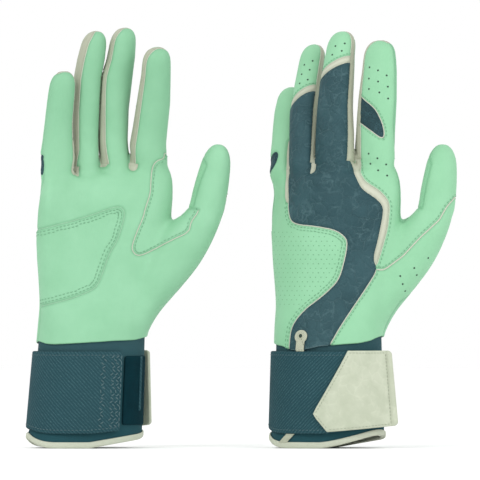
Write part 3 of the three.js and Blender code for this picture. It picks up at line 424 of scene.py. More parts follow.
class Digit:
    """A stall with its own frame: x across, y to the palm and z along it, from its root."""

    def __init__(self, side, name):
        across, self.width, self.lean, dip, turn = POSES[side][name]
        self.side = side
        self.name = name
        self.length = DIGITS[name]["length"] + STRETCH[side].get(name, 0)
        self.taper = DIGITS[name]["taper"]
        self.depth = math.sqrt(2 * (DIGITS[name]["girth"] / math.pi) ** 2 - self.width**2)
        if name == "thumb":
            self.root = THUMB_ROOT
        else:
            z = CROTCH_HEIGHT + KNUCKLE_RISE * across / PALM_WIDTH + ROOT_ABOVE_CROTCH
            z -= PINKY_ROOT_DROP if name == "pinky" else 0
            self.root = np.array([across, float(arch(np.array(across))), z])
        self.upright = translation(self.root) @ rotation("Z", -turn) @ rotation("Y", self.lean)
        self.place = self.upright @ rotation("X", -dip)
        self.back = np.linalg.inv(self.place)
        self.swells = np.array(SWELLS[side].get(name, NO_SWELL))
        self.apart = APART[name]

    def swell(self, height):
        """The width's share and the shift across at a height of the stall."""
        t = np.clip(height / self.length, 0, 1)
        stops, widths, shifts = self.swells.T
        return np.interp(t, stops, widths), np.interp(t, stops, shifts)

    def local(self, points):
        """Places in the digit's frame, straightened."""
        found = moved(points, self.back)
        found[:, 1] -= CURL * np.maximum(0, found[:, 2] / self.length) ** 2
        wide, shift = self.swell(found[:, 2])
        found[:, 0] = (found[:, 0] - shift - self.parting(found[:, 2])) / wide
        return found

    def flat(self, points):
        """Places across and along the stall, for a stall of one width."""
        local = self.local(points)
        return np.stack([local[:, 0] / self.width * INSET_WIDTH, local[:, 2]], -1)

    def parting(self, height):
        """How far aside the stall stands while the skin is made."""
        return self.apart * smoothstep(height / APART_RAMP)

    def ring(self, height, half_width, half_depth, matrix):
        angle = np.radians(np.linspace(0, 360, DIGIT_SIDES, endpoint=False))
        x, y = superellipse(angle, half_width, half_depth, DIGIT_SQUARENESS)
        bend = CURL * max(0, height / self.length) ** 2
        wide, shift = self.swell(height)
        across = x * wide + shift + self.parting(height)
        return moved(np.stack([across, y + bend, np.full_like(x, height)], -1), matrix)

    def rings(self):
        rings = self.base()
        tip_radius = self.width * TIP_REACH
        tip_start = self.length - tip_radius

        def at(height, close):
            share = (1 - self.taper * max(0, height / self.length) ** 2) * close
            rings.append(self.ring(height, self.width / 2 * share, self.depth / 2 * share, self.place))

        power = 2 / TIP_SQUARENESS
        for height in np.linspace(0, tip_start, DIGIT_STEPS):
            at(height, 1)
        for turn in TIP_TURNS:
            at(tip_start + tip_radius * math.sin(turn) ** power, math.cos(turn) ** power)
        return rings

    def base(self):
        """The rings below the root: a stub inside the hand, or the thumb's own ball."""
        if self.name != "thumb":
            half_depth = self.depth * STUB_SHARE
            rings = [self.ring(-STUB_LENGTH, self.width * STUB_SHARE, half_depth, self.upright)]
            for height in HEEL_RINGS.get(self.name, ()):
                rings.append(self.ring(height, self.width * HEEL_SHARE, half_depth, self.upright))
            return rings
        run = THUMB_ROOT - THUMB_HEEL
        run_lean = math.degrees(math.atan2(run[0], run[2]))
        rings = []
        for share in THUMB_BASE_SHARES:
            tilt = rotation("Y", lerp(run_lean, self.lean, share**2))
            matrix = translation(THUMB_HEEL + run * share) @ tilt
            half_width = self.width / 2 * along_curve(THUMB_RINGS, 1, share)
            half_depth = self.depth / 2 * along_curve(THUMB_RINGS, 2, share)
            rings.append(self.ring(0, half_width, half_depth, matrix))
        return rings

    def strip(self, z):
        """Half the width of the wall strip at a height."""
        return lerp(WALL_STRIP, WALL_STRIP_TIP, np.clip(z / self.length, 0, 1)) / 2

    def side_line(self, local):
        """The y of the side seams at places in the digit's frame."""
        low, high = WALL_SHIFT[self.side].get(self.name, (0, 0))
        up = np.clip(local[:, 2] / self.length, 0, 1)
        return lerp(low, high, up) * self.outer_side(local)

    def outer_side(self, local):
        """1 on the side away from the thumb, and 0 on the other side and at the root."""
        low = WALL_LOW.get((self.side, self.name), 0)
        up = smoothstep((local[:, 2] + low) / WALL_RAMP)
        return smoothstep(-local[:, 0] / (self.width / 4)) * up


# Meshes


def loft_faces(rings, start=0, closed=False):
    """Faces between rings of points, with both ends filled or the last ring joined to the first."""
    count, total = len(rings[0]), len(rings)
    index = np.arange(count)
    after = (index + 1) % count
    faces = []
    for r in range(total if closed else total - 1):
        low, high = start + r * count, start + (r + 1) % total * count
        faces += np.stack([low + index, low + after, high + after, high + index], -1).tolist()
    if not closed:
        faces.append((start + index[::-1]).tolist())
        faces.append((start + (total - 1) * count + index).tolist())
    return faces


def remeshed(lofts, voxel):
    """The union of closed lofts, as even triangles."""
    points, faces = [], []
    for rings in lofts:
        faces += loft_faces(rings, sum(len(p) for p in points))
        points += rings
    mesh = bpy.data.meshes.new("union")
    mesh.from_pydata(np.concatenate(points).tolist(), [], faces)
    body = bpy.data.objects.new("union", mesh)
    bpy.context.scene.collection.objects.link(body)
    modifier = body.modifiers.new("even", "REMESH")
    modifier.mode = "VOXEL"
    modifier.voxel_size = voxel
    found = body.evaluated_get(bpy.context.evaluated_depsgraph_get()).to_mesh()
    found.calc_loop_triangles()
    co = np.empty(len(found.vertices) * 3)
    found.vertices.foreach_get("co", co)
    tri = np.empty(len(found.loop_triangles) * 3, int)
    found.loop_triangles.foreach_get("vertices", tri)
    bpy.data.objects.remove(body)
    bpy.data.meshes.remove(mesh)
    return co.reshape(-1, 3), tri.reshape(-1, 3)


# A point this near to a cut is taken to lie on it
SNAP = 0.12


class Skin:
    """A triangle mesh with a label for each face."""

    def __init__(self, co, tri):
        self.co = co
        self.tri = tri
        self.label = np.zeros(len(tri), int)

    def directed(self):
        """The three edges of every face, each from its first point to its second."""
        return self.tri[:, [0, 1, 1, 2, 2, 0]].reshape(-1, 2)

    def smooth(self, steps, strength, weight=None):
        """Moves every point towards the middle of its neighbours, by the strength and its weight."""
        edges = np.unique(np.sort(self.directed(), 1), axis=0)
        count = np.bincount(edges.ravel(), minlength=len(self.co))[:, None].astype(float)
        share = 1.0 if weight is None else weight[:, None]
        for _ in range(steps):
            total = np.zeros_like(self.co)
            for k in range(3):
                total[:, k] = np.bincount(edges[:, 0], self.co[edges[:, 1], k], len(self.co))
                total[:, k] += np.bincount(edges[:, 1], self.co[edges[:, 0], k], len(self.co))
            self.co = self.co + strength * share * (total / count - self.co)

    def normals(self):
        a, b, c = (self.co[self.tri[:, k]] for k in range(3))
        facing = np.cross(b - a, c - a)
        total = np.zeros_like(self.co)
        for k in range(3):
            for axis in range(3):
                total[:, axis] += np.bincount(self.tri[:, k], facing[:, axis], len(self.co))
        return total / np.maximum(np.linalg.norm(total, axis=1, keepdims=True), 1e-12)

    def drop(self, keep):
        """Keeps only some faces, and the points that they use."""
        self.tri = self.tri[keep]
        self.label = self.label[keep]
        used, inverse = np.unique(self.tri, return_inverse=True)
        self.co = self.co[used]
        self.tri = inverse.reshape(-1, 3)

    def divide(self, field, old, new):
        """Splits the faces labelled old where the field is zero. Those above it get the new label."""
        value = np.asarray(field(self.co), float)
        value = np.where(abs(value) < SNAP, 0.0, value)
        mine = np.isin(self.label, old)
        size = len(self.co)
        ordered = np.sort(self.directed().reshape(-1, 3, 2), 2)
        key = ordered[..., 0] * size + ordered[..., 1]
        crossing = value[ordered[..., 0]] * value[ordered[..., 1]] < 0
        keys = np.unique(key[mine][crossing[mine]])
        if len(keys):
            a, b = keys // size, keys % size
            t = (value[a] / (value[a] - value[b]))[:, None]
            self.co = np.concatenate([self.co, lerp(self.co[a], self.co[b], t)])
            value = np.concatenate([value, np.zeros(len(keys))])
            place = np.minimum(np.searchsorted(keys, key), len(keys) - 1)
            marked = keys[place] == key
            middle = size + place
            count = marked.sum(1)
            tri, label = [self.tri[count == 0]], [self.label[count == 0]]
            for wanted in (1, 2):
                rows = np.nonzero(count == wanted)[0]
                if not len(rows):
                    continue
                # Turned so that the marked edges come first
                first = np.argmax(marked[rows] & ~np.roll(marked[rows], 1, 1), 1)
                turn = (first[:, None] + np.arange(3)) % 3
                v = np.take_along_axis(self.tri[rows], turn, 1)
                m = np.take_along_axis(middle[rows], turn, 1)
                if wanted == 1:
                    parts = [(v[:, 0], m[:, 0], v[:, 2]), (m[:, 0], v[:, 1], v[:, 2])]
                else:
                    parts = [
                        (m[:, 0], v[:, 1], m[:, 1]),
                        (v[:, 0], m[:, 0], m[:, 1]),
                        (v[:, 0], m[:, 1], v[:, 2]),
                    ]
                for part in parts:
                    tri.append(np.stack(part, 1))
                    label.append(self.label[rows])
            self.tri = np.concatenate(tri)
            self.label = np.concatenate(label)
        above = value[self.tri].mean(1) > 0
        self.label = np.where(np.isin(self.label, old) & above, new, self.label)

    def border(self, one, other):
        """Directed edges between two groups of labelled faces, with the first group on the left."""
        size = len(self.co)
        directed = self.directed()
        owner = np.repeat(self.label, 3)
        mine = np.isin(owner, one)
        theirs = np.isin(owner, other)
        here = directed[mine]
        twin = directed[theirs][:, ::-1]
        shared = np.isin(here[:, 0] * size + here[:, 1], twin[:, 0] * size + twin[:, 1])
        return here[shared]

    def rim(self, labels):
        """Edges that only one face has, of faces with these labels."""
        size = len(self.co)
        directed = self.directed()
        key = directed[:, 0] * size + directed[:, 1]
        back = directed[:, 1] * size + directed[:, 0]
        return directed[~np.isin(key, back) & np.isin(np.repeat(self.label, 3), labels)]


def chains(edges):
    """Directed edges joined into runs of points. A closed run ends on its first point."""
    following = {}
    for a, b in edges.tolist():
        following.setdefault(a, []).append(b)
    starts = set(following) - {b for ends in following.values() for b in ends}
    runs = []
    while following:
        start = next(iter(starts & set(following)), None)
        if start is None:
            start = next(iter(following))
        run = [start]
        while run[-1] in following:
            ends = following[run[-1]]
            run.append(ends.pop())
            if not ends:
                del following[run[-2]]
        runs.append(run)
    return runs


def reach_along(points):
    """How far along a line of points each of them is."""
    return np.concatenate([[0], np.cumsum(np.linalg.norm(np.diff(points, axis=0), axis=1))])


def even_run(points, normals, pitch, rounds=4):
    """A run of points, smoothed and spaced evenly, with its normals and directions."""
    closed = np.allclose(points[0], points[-1])
    for _ in range(rounds):
        inner = (points[:-2] + 2 * points[1:-1] + points[2:]) / 4
        points = np.concatenate([points[:1], inner, points[-1:]])
        if closed:
            points[0] = points[-1] = (points[1] + 2 * points[0] + points[-2]) / 4
    reach = reach_along(points)
    count = max(2, int(round(reach[-1] / pitch)) + 1)
    stops = np.linspace(0, reach[-1], count)
    even = np.stack([np.interp(stops, reach, points[:, k]) for k in range(3)], -1)
    facing = np.stack([np.interp(stops, reach, normals[:, k]) for k in range(3)], -1)
    facing /= np.linalg.norm(facing, axis=1, keepdims=True)
    along = np.gradient(even, axis=0)
    along /= np.maximum(np.linalg.norm(along, axis=1, keepdims=True), 1e-9)
    return even, facing, along, closed


def signed_distance(points, outline):
    """How far 2D points lie inside a closed outline. Outside it is below zero."""
    x, y = points[:, 0], points[:, 1]
    best = np.full(len(points), np.inf)
    inside = np.zeros(len(points), bool)
    for (ax, ay), (bx, by) in zip(outline, np.roll(outline, -1, 0)):
        dx, dy = bx - ax, by - ay
        t = np.clip(((x - ax) * dx + (y - ay) * dy) / max(dx * dx + dy * dy, 1e-12), 0, 1)
        best = np.minimum(best, np.hypot(x - ax - t * dx, y - ay - t * dy))
        if ay != by:
            inside ^= ((ay > y) != (by > y)) & (x < dx * (y - ay) / dy + ax)
    return np.where(inside, best, -best)


# Each round of rounding cuts off this share of a side at both its ends
CORNER_CUT = 0.22


def rounded(outline, rounds=2):
    """A closed outline with its corners cut round."""
    outline = np.asarray(outline, float)
    for _ in range(rounds):
        after = np.roll(outline, -1, 0)
        cuts = [lerp(outline, after, CORNER_CUT), lerp(outline, after, 1 - CORNER_CUT)]
        outline = np.stack(cuts, 1).reshape(-1, 2)
    return outline


# The skin of a glove and its panels

LABELS = ["palm_leather", "heel_patch", "web_patch", "knuckle_overlay"]
LABELS += ["ulnar_panel", "radial_panel", "web_panel"]
LABELS += [f"{name}_{part}" for name in FINGERS for part in ("front", "back", "wall")]
LABELS += ["middle_cap", "ring_cap", "thumb_front", "thumb_back", "thumb_gusset", "thumb_side"]
LABELS += ["hand_trim", "middle_trim", "ring_trim", "index_inset", "pinky_inset", "pinky_trim"]
LABELS += ["crotches", "index_web"]
CODE = {name: code for code, name in enumerate(LABELS)}
# The label of what is cut off below the hem
BELOW_HEM = 99

# Outlines as columns and rows of the photograph. The back's are seen on the left-hand glove and the
# palm's on the right-hand glove. Each lies on both gloves.
OVERLAY_PIXELS = [
    (289.7, 150), (288.5, 196), (288, 211), (291, 222), (300, 225), (313.5, 226), (336, 230), (347, 239),
    (346.5, 250), (341, 273), (336, 283), (323, 295.4), (303, 310.4), (291.4, 326), (289, 343), (289, 360),
    (322, 360), (330, 344), (347.8, 314.5), (366, 288), (377.6, 269.7), (372.7, 259), (377.8, 240),
    (383, 214), (382.4, 205), (374.7, 197.5), (362, 189.5), (357.5, 181), (353.5, 170), (350, 160),
    (349.4, 150),
]
TRIM_PIXELS = [
    (345, 150), (359.2, 150), (359.5, 168), (361.2, 176), (365, 182), (378, 190), (387, 199),
    (389.4, 206.6), (387.4, 226.5), (384, 240), (378.2, 259), (375.5, 267), (371, 264), (360, 250),
    (345, 200),
]
# Down the middle of the overlay
SPINE_PIXELS = [(308, 352), (308, 343), (335, 300), (358, 262), (360, 240), (342, 215), (338, 190)]
WEDGE_PIXELS = [
    (291, 134), (289.2, 136), (286.5, 165), (284.6, 190), (284.4, 198), (286.6, 204), (290, 201),
    (292, 165),
]
HEEL_PIXELS = [
    (30, 231), (42, 229), (81, 219), (115, 206.6), (122.6, 207.4), (125.6, 214), (118, 240), (109, 254),
    (99.7, 282.6), (93, 290), (71, 298.6), (45.5, 305), (30, 309),
]
WEB_PIXELS = [
    (164.6, 150), (164.6, 159), (157, 160.6), (152.5, 167), (151, 181), (150.6, 194), (146, 206.5),
    (143, 219), (138, 229.5), (131, 249), (136.6, 256), (145.5, 254), (171, 240), (189.5, 232),
    (190.5, 222), (199, 211), (203, 190), (190, 180),
]
# On the index and the little finger's back
INDEX_INSET_PIXELS = [
    (358, 95), (361, 96.5), (375, 108), (382, 122), (384.5, 133), (383.5, 140), (371, 131), (359, 122),
    (357, 120),
]
PINKY_INSET_PIXELS = [
    (258, 158), (271.5, 154.2), (276.6, 150.4), (278.4, 154.5), (276.2, 162), (271.8, 170), (258, 175),
]
PINKY_EDGE_PIXELS = [(28, 153), (40.4, 154.2), (43.6, 157.2), (43.4, 171), (42.2, 176.4), (28, 177)]
PINKY_TRIM_PIXELS = [
    (291.5, 134), (289.4, 137), (287.4, 150), (286.6, 165), (286.2, 178), (293, 178), (294, 150),
]
THUMB_SEAM_PIXELS = [
    (384, 269.7), (403, 255.6), (420.7, 236.6), (427, 231), (439, 220), (446.6, 207), (453, 200),
    (455.5, 197),
]


# Lines of sight start this far in front of the gloves' middle, in metres
RAY_REACH = 0.3


def pixel_ray(side, pixel):
    """The photograph's line of sight through a pixel, in a glove's hand frame."""
    column, row = pixel
    x = ORIGINS["left"][0] + (column - LEFT_COLUMN) * PIXEL
    z = (GROUND_ROW - row) * PIXEL
    back = np.linalg.inv(to_row(side))
    start = moved(np.array([[x * MM, -RAY_REACH, z * MM]]), back)[0]
    end = moved(np.array([[x * MM, RAY_REACH, z * MM]]), back)[0]
    return start, (end - start) / np.linalg.norm(end - start)


def hit(tree, start, way):
    """The first place of a mesh along a ray, or nothing."""
    place = tree.ray_cast(Vector(start), Vector(way))[0]
    return None if place is None else np.array(place)


def seen(glove, pixel):
    """The place on a glove that a pixel shows, or nothing."""
    return hit(glove.tree, *pixel_ray(glove.side, pixel))


def seen_or_beside(glove, pixel, depth=0.0):
    """The place on a glove that a pixel shows, or beside the glove a place at that depth."""
    place = seen(glove, pixel)
    if place is not None:
        return place
    start, way = pixel_ray(glove.side, pixel)
    return start + way * (depth - start[1]) / way[1]


def outline_in_hand(glove, pixels):
    """A photographed outline as x and z of the hand frame."""
    return rounded([seen_or_beside(glove, pixel)[[0, 2]] for pixel in pixels])


# Above this height the seam between palm and back turns in between the fingers
KNUCKLE_LINE = 152.0
KNUCKLE_LINE_RAMP = 25


def seam_depth(x, z, thumb):
    """The y of the seam between palm and back at a place on the hand."""
    up = np.clip(z / CROTCH_HEIGHT, 0, 1)
    edge = PALM_WIDTH / 2 + PALM_SHIFT
    ulnar, radial = ARCH_ULNAR * up, ARCH_RADIAL * up
    at_thumb = lerp(THUMB_HEEL[1], THUMB_ROOT[1] + thumb.depth / 4, up)
    across = lerp(ulnar, radial, np.clip((x + edge) / (2 * edge), 0, 1))
    across = lerp(across, arch(x), smoothstep((z - KNUCKLE_LINE) / KNUCKLE_LINE_RAMP))
    return lerp(across, at_thumb, smoothstep((x - edge) / (thumb.width / 3)))


# The thumb's gusset: half its width on each glove, its top, over which it narrows, and its clearance
GUSSET_HALF = {"left": 5.0, "right": 8.0}
GUSSET_TOP = 36.0
GUSSET_RAMP = 8
GUSSET_EDGE = 1
# A digit's leather begins within this share of its radius, and its field rises this fast beyond it
DIGIT_LIMIT = 2.2
DIGIT_STEEPNESS = 12
# Over this height an outer finger's side seam leaves the line of the hand's
SIDE_SEAM_RAMP = 25
# The pale band along the slanting arc reaches this far above it
TRIM_ABOVE = 4.6
# Insets are laid out on a stall of this width
INSET_WIDTH = 22.0
# The panels that the pale gussets between the fingers are cut from
HAND_PANELS = [
    "palm_leather", "knuckle_overlay", "ulnar_panel", "radial_panel", "web_panel", "hand_trim",
    "web_patch",
]
# Between the fingers, from the little finger's side: the pale gusset's lowest pixel and half its width
CROTCH_PIXELS = {
    "left": ((289.4, 174.0, 1.2), (312.2, 173.4, 1.9)),
    "right": ((77.0, 176.0, 2.0), (102.8, 167.2, 3.1), (132.8, 170.5, 3.4)),
}


class Glove:
    """One glove's skin, divided into its panels, with the outlines that both gloves share."""

    def __init__(self, side):
        self.side = side
        self.digits = {name: Digit(side, name) for name in DIGITS}
        co, tri = remeshed([hand_rings()] + [digit.rings() for digit in self.digits.values()], VOXEL)
        self.skin = Skin(co, tri)
        for _ in range(SMOOTH_ROUNDS):
            self.skin.smooth(1, SMOOTH_IN)
            self.skin.smooth(1, SMOOTH_OUT)
        self.soften_roots()
        self.close_fingers()
        self.tree = BVHTree.FromPolygons(self.skin.co.tolist(), self.skin.tri.tolist())

    def close_fingers(self):
        """Moves the stalls, which the union was made of a little apart, to where they lie."""
        co = self.skin.co.copy()
        nearest = np.argmin(self.radii(co), 0)
        for place, digit in enumerate(self.digits.values()):
            mine = (nearest == place) & (digit.local(co)[:, 2] > 0)
            height = moved(co[mine], digit.back)[:, 2]
            self.skin.co[mine] -= digit.parting(height)[:, None] * digit.place[:3, 0]
        for digit in self.digits.values():
            digit.apart = 0.0

    def soften_roots(self):
        """Rounds the places where stalls and thumb leave the hand."""
        co = self.skin.co
        off_crotch = abs(co[:, 2] - CROTCH_HEIGHT + 1)
        near_roots = smoothstep(1 - off_crotch / FORK_REACH) * (co[:, 0] < FORK_LIMIT)
        near_thumb = smoothstep(1 - np.linalg.norm(co - THUMB_FORK, axis=1) / THUMB_FORK_REACH)
        near_pinky = smoothstep(1 - np.linalg.norm(co - PINKY_KNUCKLE, axis=1) / PINKY_KNUCKLE_REACH)
        hand = smoothstep((HAND_SMOOTH_TOP - co[:, 2]) / HAND_SMOOTH_RAMP)
        forks = np.maximum(near_roots * FORK_SHARE, near_thumb)
        self.skin.smooth(FORK_ROUNDS, SMOOTH_IN, forks)
        rest = np.maximum(np.maximum(hand, near_thumb), near_pinky)
        self.skin.smooth(HAND_ROUNDS, SMOOTH_IN, rest)

    def radii(self, points):
        """How far from each digit's middle line points are, as shares of its half width and depth."""
        found = []
        for digit in self.digits.values():
            local = digit.local(points)
            found.append(np.hypot(local[:, 0] / (digit.width / 2), local[:, 1] / (digit.depth / 2)))
        return np.array(found)

    def cut(self, field, old, new):
        """Gives the old panels' leather to the new panel where the field is above zero."""
        self.skin.divide(field, [CODE[name] for name in old], CODE[new])

    def divide(self, outlines):
        """Cuts the skin into its panels. What is left of the first label is the palm's leather."""
        self.skin.divide(lambda p: hem_height(p) - p[:, 2], [0], BELOW_HEM)
        self.skin.drop(self.skin.label != BELOW_HEM)
        for place, digit in enumerate(self.digits.values()):

            def mine(p):
                radii = self.radii(p)
                others = np.delete(radii, place, 0).min(0)
                beyond = digit.local(p)[:, 2]
                nearer = np.minimum(others - radii[place], DIGIT_LIMIT - radii[place])
                return np.minimum(beyond, DIGIT_STEEPNESS * nearer)

            self.cut(mine, ["palm_leather"], f"{digit.name}_back")
            self.divide_digit(digit)
        self.divide_hand(outlines)
        self.divide_insets(outlines)

    def divide_digit(self, digit):
        name = digit.name
        back, cap = f"{name}_back", f"{name}_cap"
        if name == "thumb":
            self.cut(lambda p: self.gusset(digit, p), [back], "thumb_gusset")
        else:
            self.cut(lambda p: self.wall(digit, p), [back], f"{name}_wall")
        self.cut(lambda p: self.front(digit, p), [back], f"{name}_front")
        if name in CAP_LENGTH:
            self.cut(lambda p: self.beyond_arc(digit, p), [back], cap)
            self.cut(lambda p: TRIM_ABOVE - self.beyond_arc(digit, p), [cap], f"{name}_trim")

    def gusset(self, digit, p):
        """Above zero on the strip along the thumb's side that faces the hand."""
        local = digit.local(p)
        half = GUSSET_HALF[self.side] * smoothstep((GUSSET_TOP - local[:, 2]) / GUSSET_RAMP)
        return np.minimum(-GUSSET_EDGE - local[:, 0], half - abs(local[:, 1]))

    def wall(self, digit, p):
        """Above zero on the strip between front and back, which only the sides between fingers have."""
        local = digit.local(p)
        off = local[:, 1] - digit.side_line(local)
        half = digit.strip(local[:, 2])
        extra = WALL_EXTRA[self.side] * digit.outer_side(local)
        strip = np.minimum(half - off, half + extra + off)
        if digit.name == "index":
            strip = np.minimum(strip, digit.width / 4 - local[:, 0])
        if digit.name == "pinky":
            strip = np.minimum(strip, digit.width / 4 + local[:, 0])
        return strip

    def front(self, digit, p):
        """Above zero on a digit's front. An outer finger's side seam runs on from the hand's."""
        local = digit.local(p)
        outward = {"index": 1, "pinky": -1}.get(digit.name, 0)
        if not outward:
            return local[:, 1] - digit.side_line(local)
        edge = digit.root + np.array([outward * digit.width / 2, 0, 0])
        edge[1] = seam_depth(edge[:1], edge[2:], self.digits["thumb"])[0]
        meet = digit.local(edge[None])[0, 1]
        low = 1 - smoothstep(local[:, 2] / SIDE_SEAM_RAMP)
        share = low * smoothstep(outward * local[:, 0] / (digit.width / 4))
        return local[:, 1] - meet * share - digit.side_line(local)

    def beyond_arc(self, digit, p):
        """How far beyond the slanting arc on a finger's back."""
        local = digit.local(p)
        low = digit.length - CAP_LENGTH[digit.name]
        t = np.clip((local[:, 0] / digit.width + 1) / 2, 0, 1)
        return local[:, 2] - (low + CAP_SLANT * (-((1 - t) ** 2) + t * (1 - t) + t**2))

    def divide_hand(self, outlines):
        thumb = self.digits["thumb"]
        spine, seam = outlines["spine"], outlines["thumb_seam"]
        last, before = seam[-1], seam[-3]
        seam_slope = (last[1] - before[1]) / (last[0] - before[0])

        def inside(name):
            return lambda p: signed_distance(p[:, [0, 2]], outlines[name])

        def behind_palm(p):
            return seam_depth(p[:, 0], p[:, 2], thumb) - p[:, 1]

        def beyond_spine(p):
            return p[:, 0] - np.interp(p[:, 2], spine[:, 1], spine[:, 0])

        def below_seam(p):
            beyond = np.maximum(0, p[:, 0] - last[0]) * seam_slope
            return np.interp(p[:, 0], *seam.T) + beyond - p[:, 2]

        self.cut(behind_palm, ["palm_leather"], "ulnar_panel")
        self.cut(inside("overlay"), ["ulnar_panel"], "knuckle_overlay")
        self.cut(beyond_spine, ["ulnar_panel"], "radial_panel")
        self.cut(lambda p: p[:, 2] - np.interp(p[:, 0], *seam.T), ["radial_panel"], "web_panel")
        self.cut(below_seam, ["thumb_back"], "thumb_side")
        self.cut(inside("trim"), ["ulnar_panel", "radial_panel", "web_panel"], "hand_trim")
        self.cut(inside("wedge"), ["ulnar_panel"], "hand_trim")
        self.cut(inside("heel"), ["palm_leather"], "heel_patch")
        self.cut(inside("web"), ["palm_leather"], "web_patch")
        self.cut(inside("web"), ["index_front"], "index_web")
        turn_slope = math.tan(math.radians(POSES[self.side]["ring"][-1]))
        for column, row, half in CROTCH_PIXELS[self.side]:
            x, y, z = seen(self, (column, row - half))

            def crotch(p):
                across = p[:, 0] - x - (p[:, 1] - y) * turn_slope
                return half * PIXEL - np.hypot(across, np.minimum(0, p[:, 2] - z))

            self.cut(crotch, HAND_PANELS, "crotches")

    def divide_insets(self, outlines):
        """Small leaves of another leather on the index and the little finger, and its pale wedge."""
        for name, old, outline, new in (
            ("index", ["index_back"], "index_leaf", "index_inset"),
            ("pinky", ["pinky_back"], "pinky_leaf", "pinky_inset"),
            ("pinky", ["pinky_front"], "pinky_edge", "pinky_inset"),
            ("pinky", ["pinky_back"], "pinky_edge", "pinky_inset"),
            ("pinky", ["pinky_back", "pinky_wall"], "pinky_trim", "pinky_trim"),
        ):
            digit = self.digits[name]

            def leaf(p):
                inside = signed_distance(digit.flat(p), outlines[outline])
                if outline != "pinky_edge":
                    return inside
                # The leaf seen from the palm ends just behind the finger's edge
                return np.minimum(inside, digit.local(p)[:, 1] + 1)

            self.cut(leaf, old, new)


def outline_on_digit(glove, name, pixels):
    """A photographed outline across and along a stall, for a stall of one width."""
    digit = glove.digits[name]
    places = [seen_or_beside(glove, pixel, digit.root[1]) for pixel in pixels]
    return rounded(digit.flat(np.array(places)))


def line_in_hand(glove, pixels):
    """A photographed line as x and z of the hand frame."""
    places = [seen(glove, pixel) for pixel in pixels]
    return np.array([place[[0, 2]] for place in places if place is not None])


gloves = {side: Glove(side) for side in ORIGINS}
left, right = gloves["left"], gloves["right"]
outlines = {
    "overlay": outline_in_hand(left, OVERLAY_PIXELS),
    "heel": outline_in_hand(right, HEEL_PIXELS),
    "web": outline_in_hand(right, WEB_PIXELS),
    "trim": outline_in_hand(left, TRIM_PIXELS),
    "wedge": outline_in_hand(left, WEDGE_PIXELS),
    "index_leaf": outline_on_digit(left, "index", INDEX_INSET_PIXELS),
    "pinky_leaf": outline_on_digit(left, "pinky", PINKY_INSET_PIXELS),
    "pinky_edge": outline_on_digit(right, "pinky", PINKY_EDGE_PIXELS),
    "pinky_trim": outline_on_digit(left, "pinky", PINKY_TRIM_PIXELS),
    "thumb_seam": line_in_hand(left, THUMB_SEAM_PIXELS),
    "spine": line_in_hand(left, SPINE_PIXELS),
}
for glove in gloves.values():
    glove.divide(outlines)


# Materials


class Nodes:
    """Short calls for building a material's nodes."""

    def __init__(self, name):
        self.material = bpy.data.materials.new(name)
        self.material.use_nodes = True
        self.tree = self.material.node_tree
        self.shader = self.tree.nodes["Principled BSDF"]

    def add(self, kind, inputs=(), **settings):
        """A new node with its settings, then its inputs: values, or sockets of other nodes."""
        node = self.tree.nodes.new(kind)
        for key, value in settings.items():
            setattr(node, key, value)
        for key, value in dict(inputs).items():
            self.put(node, key, value)
        return node

    def put(self, node, key, value):
        if isinstance(value, bpy.types.NodeSocket):
            self.tree.links.new(value, node.inputs[key])
        else:
            node.inputs[key].default_value = value

    def attribute(self, name, output="Vector"):
        return self.add("ShaderNodeAttribute", attribute_name=name).outputs[output]

    def noise(self, vector, scale, detail=2.0, roughness=0.5, output="Fac"):
        inputs = {"Vector": vector, "Scale": scale, "Detail": detail, "Roughness": roughness}
        return self.add("ShaderNodeTexNoise", inputs).outputs[output]

    def cells(self, vector, scale, feature="DISTANCE_TO_EDGE"):
        inputs = {"Vector": vector, "Scale": scale}
        return self.add("ShaderNodeTexVoronoi", inputs, feature=feature).outputs["Distance"]

    def bent(self, vector, scale, detail, reach):
        """The vector, moved about by a broad noise."""
        warp = self.noise(vector, scale, detail, output="Color")
        kind = "ShaderNodeVectorMath"
        aside = self.add(kind, {0: warp, 1: (reach,) * 3}, operation="MULTIPLY").outputs[0]
        return self.add(kind, {0: aside, 1: vector}, operation="ADD").outputs[0]

    def math(self, operation, a, b=0.0):
        return self.add("ShaderNodeMath", {0: a, 1: b}, operation=operation).outputs[0]

    def times(self, a, b):
        return self.math("MULTIPLY", a, b)

    def wave(self, value, length):
        return self.math("SINE", self.times(value, 2 * math.pi / length))

    def spread(self, value, low, high, to_low=0.0, to_high=1.0):
        inputs = {0: value, 1: low, 2: high, 3: to_low, 4: to_high}
        return self.add("ShaderNodeMapRange", inputs, clamp=True).outputs[0]

    def mix(self, share, a, b):
        """A mix of two colours, which are the node's inputs 6 and 7."""
        return self.add("ShaderNodeMix", {0: share, 6: a, 7: b}, data_type="RGBA").outputs[2]

    def bump(self, height, distance, strength):
        inputs = {"Height": height, "Distance": distance, "Strength": strength}
        return self.add("ShaderNodeBump", inputs).outputs[0]

    def finish(self, color, roughness, normal, **rest):
        self.put(self.shader, "Base Color", color)
        self.put(self.shader, "Roughness", roughness)
        self.put(self.shader, "Normal", normal)
        for key, value in rest.items():
            self.shader.inputs[key.replace("_", " ")].default_value = value
        return self.material


# The bright studio light makes every surface look this much lighter than its own colour
LIGHT_GAIN = 1.38


def srgb(*levels):
    """The colour of a surface that looks like this in the studio light, as linear light."""

    def linear(share):
        return share / 12.92 if share <= 0.04045 else ((share + 0.055) / 1.055) ** 2.4

    return tuple(linear(level / 255) / LIGHT_GAIN for level in levels) + (1,)


# How far the fingers' palm side is darkened towards the soft colour, as painted shade
FINGER_PAINTED_SHADE = 0.24


